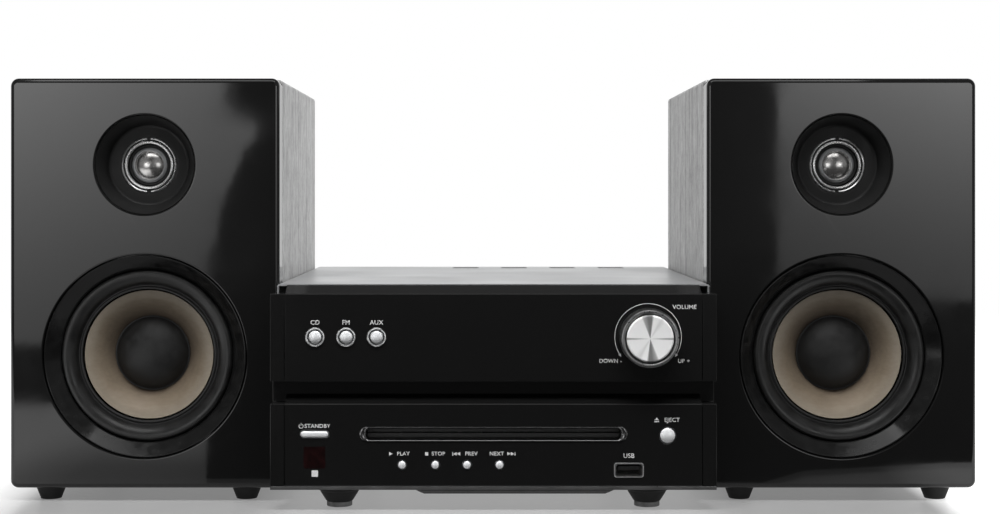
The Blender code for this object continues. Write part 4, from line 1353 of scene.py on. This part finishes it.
def build_cards():
    """Two upright cards in front of the speakers, one overhead, and dark cloth on the floor."""
    left = [(-CARD_OUTER, 0.0), *CARD_EDGE, (-CARD_OUTER, CARD_TOP)]
    right = [
        (0.31, 0.052), (0.45, 0.050), (CARD_OUTER, 0.046), (CARD_OUTER, CARD_TOP), (0.31, CARD_TOP),
    ]
    overhead = [(-0.55, -0.87, 1.08), (0.45, -0.87, 1.08), (0.45, -0.43, 1.32), (-0.55, -0.43, 1.32)]
    for name, points, light in (
        ("left_card", [(x, CARD_Y, z) for x, z in left], (1.2, 2.1, 1.5)),
        ("right_card", [(x, CARD_Y, z) for x, z in right], (0.9, 2.3, 2.0)),
        ("overhead_card", overhead, (0.0, 3.6, 1.0)),
    ):
        flat_card(name, points, glow(name + "_glow", *light)).visible_diffuse = False
    cloth = [(x, y, CLOTH_HEIGHT) for x, y in CLOTH_OUTLINE]
    flat_card("dark_cloth", cloth, glow("dark_cloth", 0.09))


def build_world():
    """Plain white to the camera. All else sees pale sides and a low white sweep at the back."""
    world = bpy.data.worlds.new("studio")
    bpy.context.scene.world = world
    sky = Nodes(world)
    split = sky.axes("Generated")
    back = sky.between(split["Y"], 0.08, 0.9, 0.2, 0.6)
    sweep = sky.maths("MULTIPLY", back, sky.between(split["Z"], 1.0, 0.12, 0.35, 0.6))
    left = sky.between(split["X"], 0.17, 0.0, -0.24, -0.12)
    sides = sky.maths("ADD", left, sky.between(split["X"], 0.0, 0.17, 0.12, 0.24))
    seen = sky.node("ShaderNodeLightPath")["Is Camera Ray"]
    inputs = {"Factor": seen, "A": sky.maths("ADD", sweep, sides), "B": 1.0}
    strength = sky.node("ShaderNodeMix", inputs, data_type="FLOAT")["Result"]
    sky.feed(sky.nodes["Background"].inputs, "Strength", strength)
    sky.feed(sky.nodes["Background"].inputs, "Color", WHITE)
    bpy.context.scene.view_settings.view_transform = "Standard"


def lamp(name, at, towards, size, power):
    """A rectangular softbox, kept out of reflections."""
    light = bpy.data.lights.new(name, "AREA")
    light.shape = "RECTANGLE"
    light.size, light.size_y = size
    light.energy = power
    item = in_scene(name, light)
    item.location = at
    item.rotation_euler = (Vector(towards) - Vector(at)).to_track_quat("-Z", "Y").to_euler()
    item.visible_glossy = False


def build_set():
    """Floor, cards, softboxes and the room."""
    span = 4000.0
    staged("floor", turned([(0.0, -1.0), (span, -1.0), (span, 0.0), (0.0, 0.0)], 96, "Z"), floor_with_painted_shadows())
    build_cards()
    lamp("key_softbox", (-0.05, -0.65, 1.2), (0.0, -0.06, 0.10), (1.2, 0.4), 25.0)
    lamp("right_rear_softbox", (0.75, 0.55, 0.75), (-0.15, 0.02, 0.14), (0.5, 0.5), 11.0)
    lamp("left_rear_softbox", (-0.8, 0.55, 0.75), (0.15, 0.02, 0.14), (0.5, 0.5), 1.8)
    build_world()


def build_camera():
    """A level view from the front, a little left of the middle and above the cover."""
    camera = in_scene("camera", bpy.data.cameras.new("camera"))
    camera.data.lens = 60.7
    camera.data.sensor_width = 36.0
    camera.data.shift_x = 0.0158
    camera.data.shift_y = -0.061
    camera.location = (-0.0047, ORIGIN.y - 0.860, 0.161)
    camera.rotation_euler = (math.radians(90), 0.0, 0.0)
    bpy.context.scene.camera = camera


build_fascia()
build_buttons()
build_knob()
build_printing()
build_cover()
build_rear()
build_unit_feet()
speaker_steps = (build_baffle, build_cabinet, build_cup, build_speaker_feet, build_woofer, build_tweeter)
for side in SIDES:
    for build in speaker_steps:
        build(side, f"{side}_speaker")
dress_inner_pieces()
build_set()
build_camera()
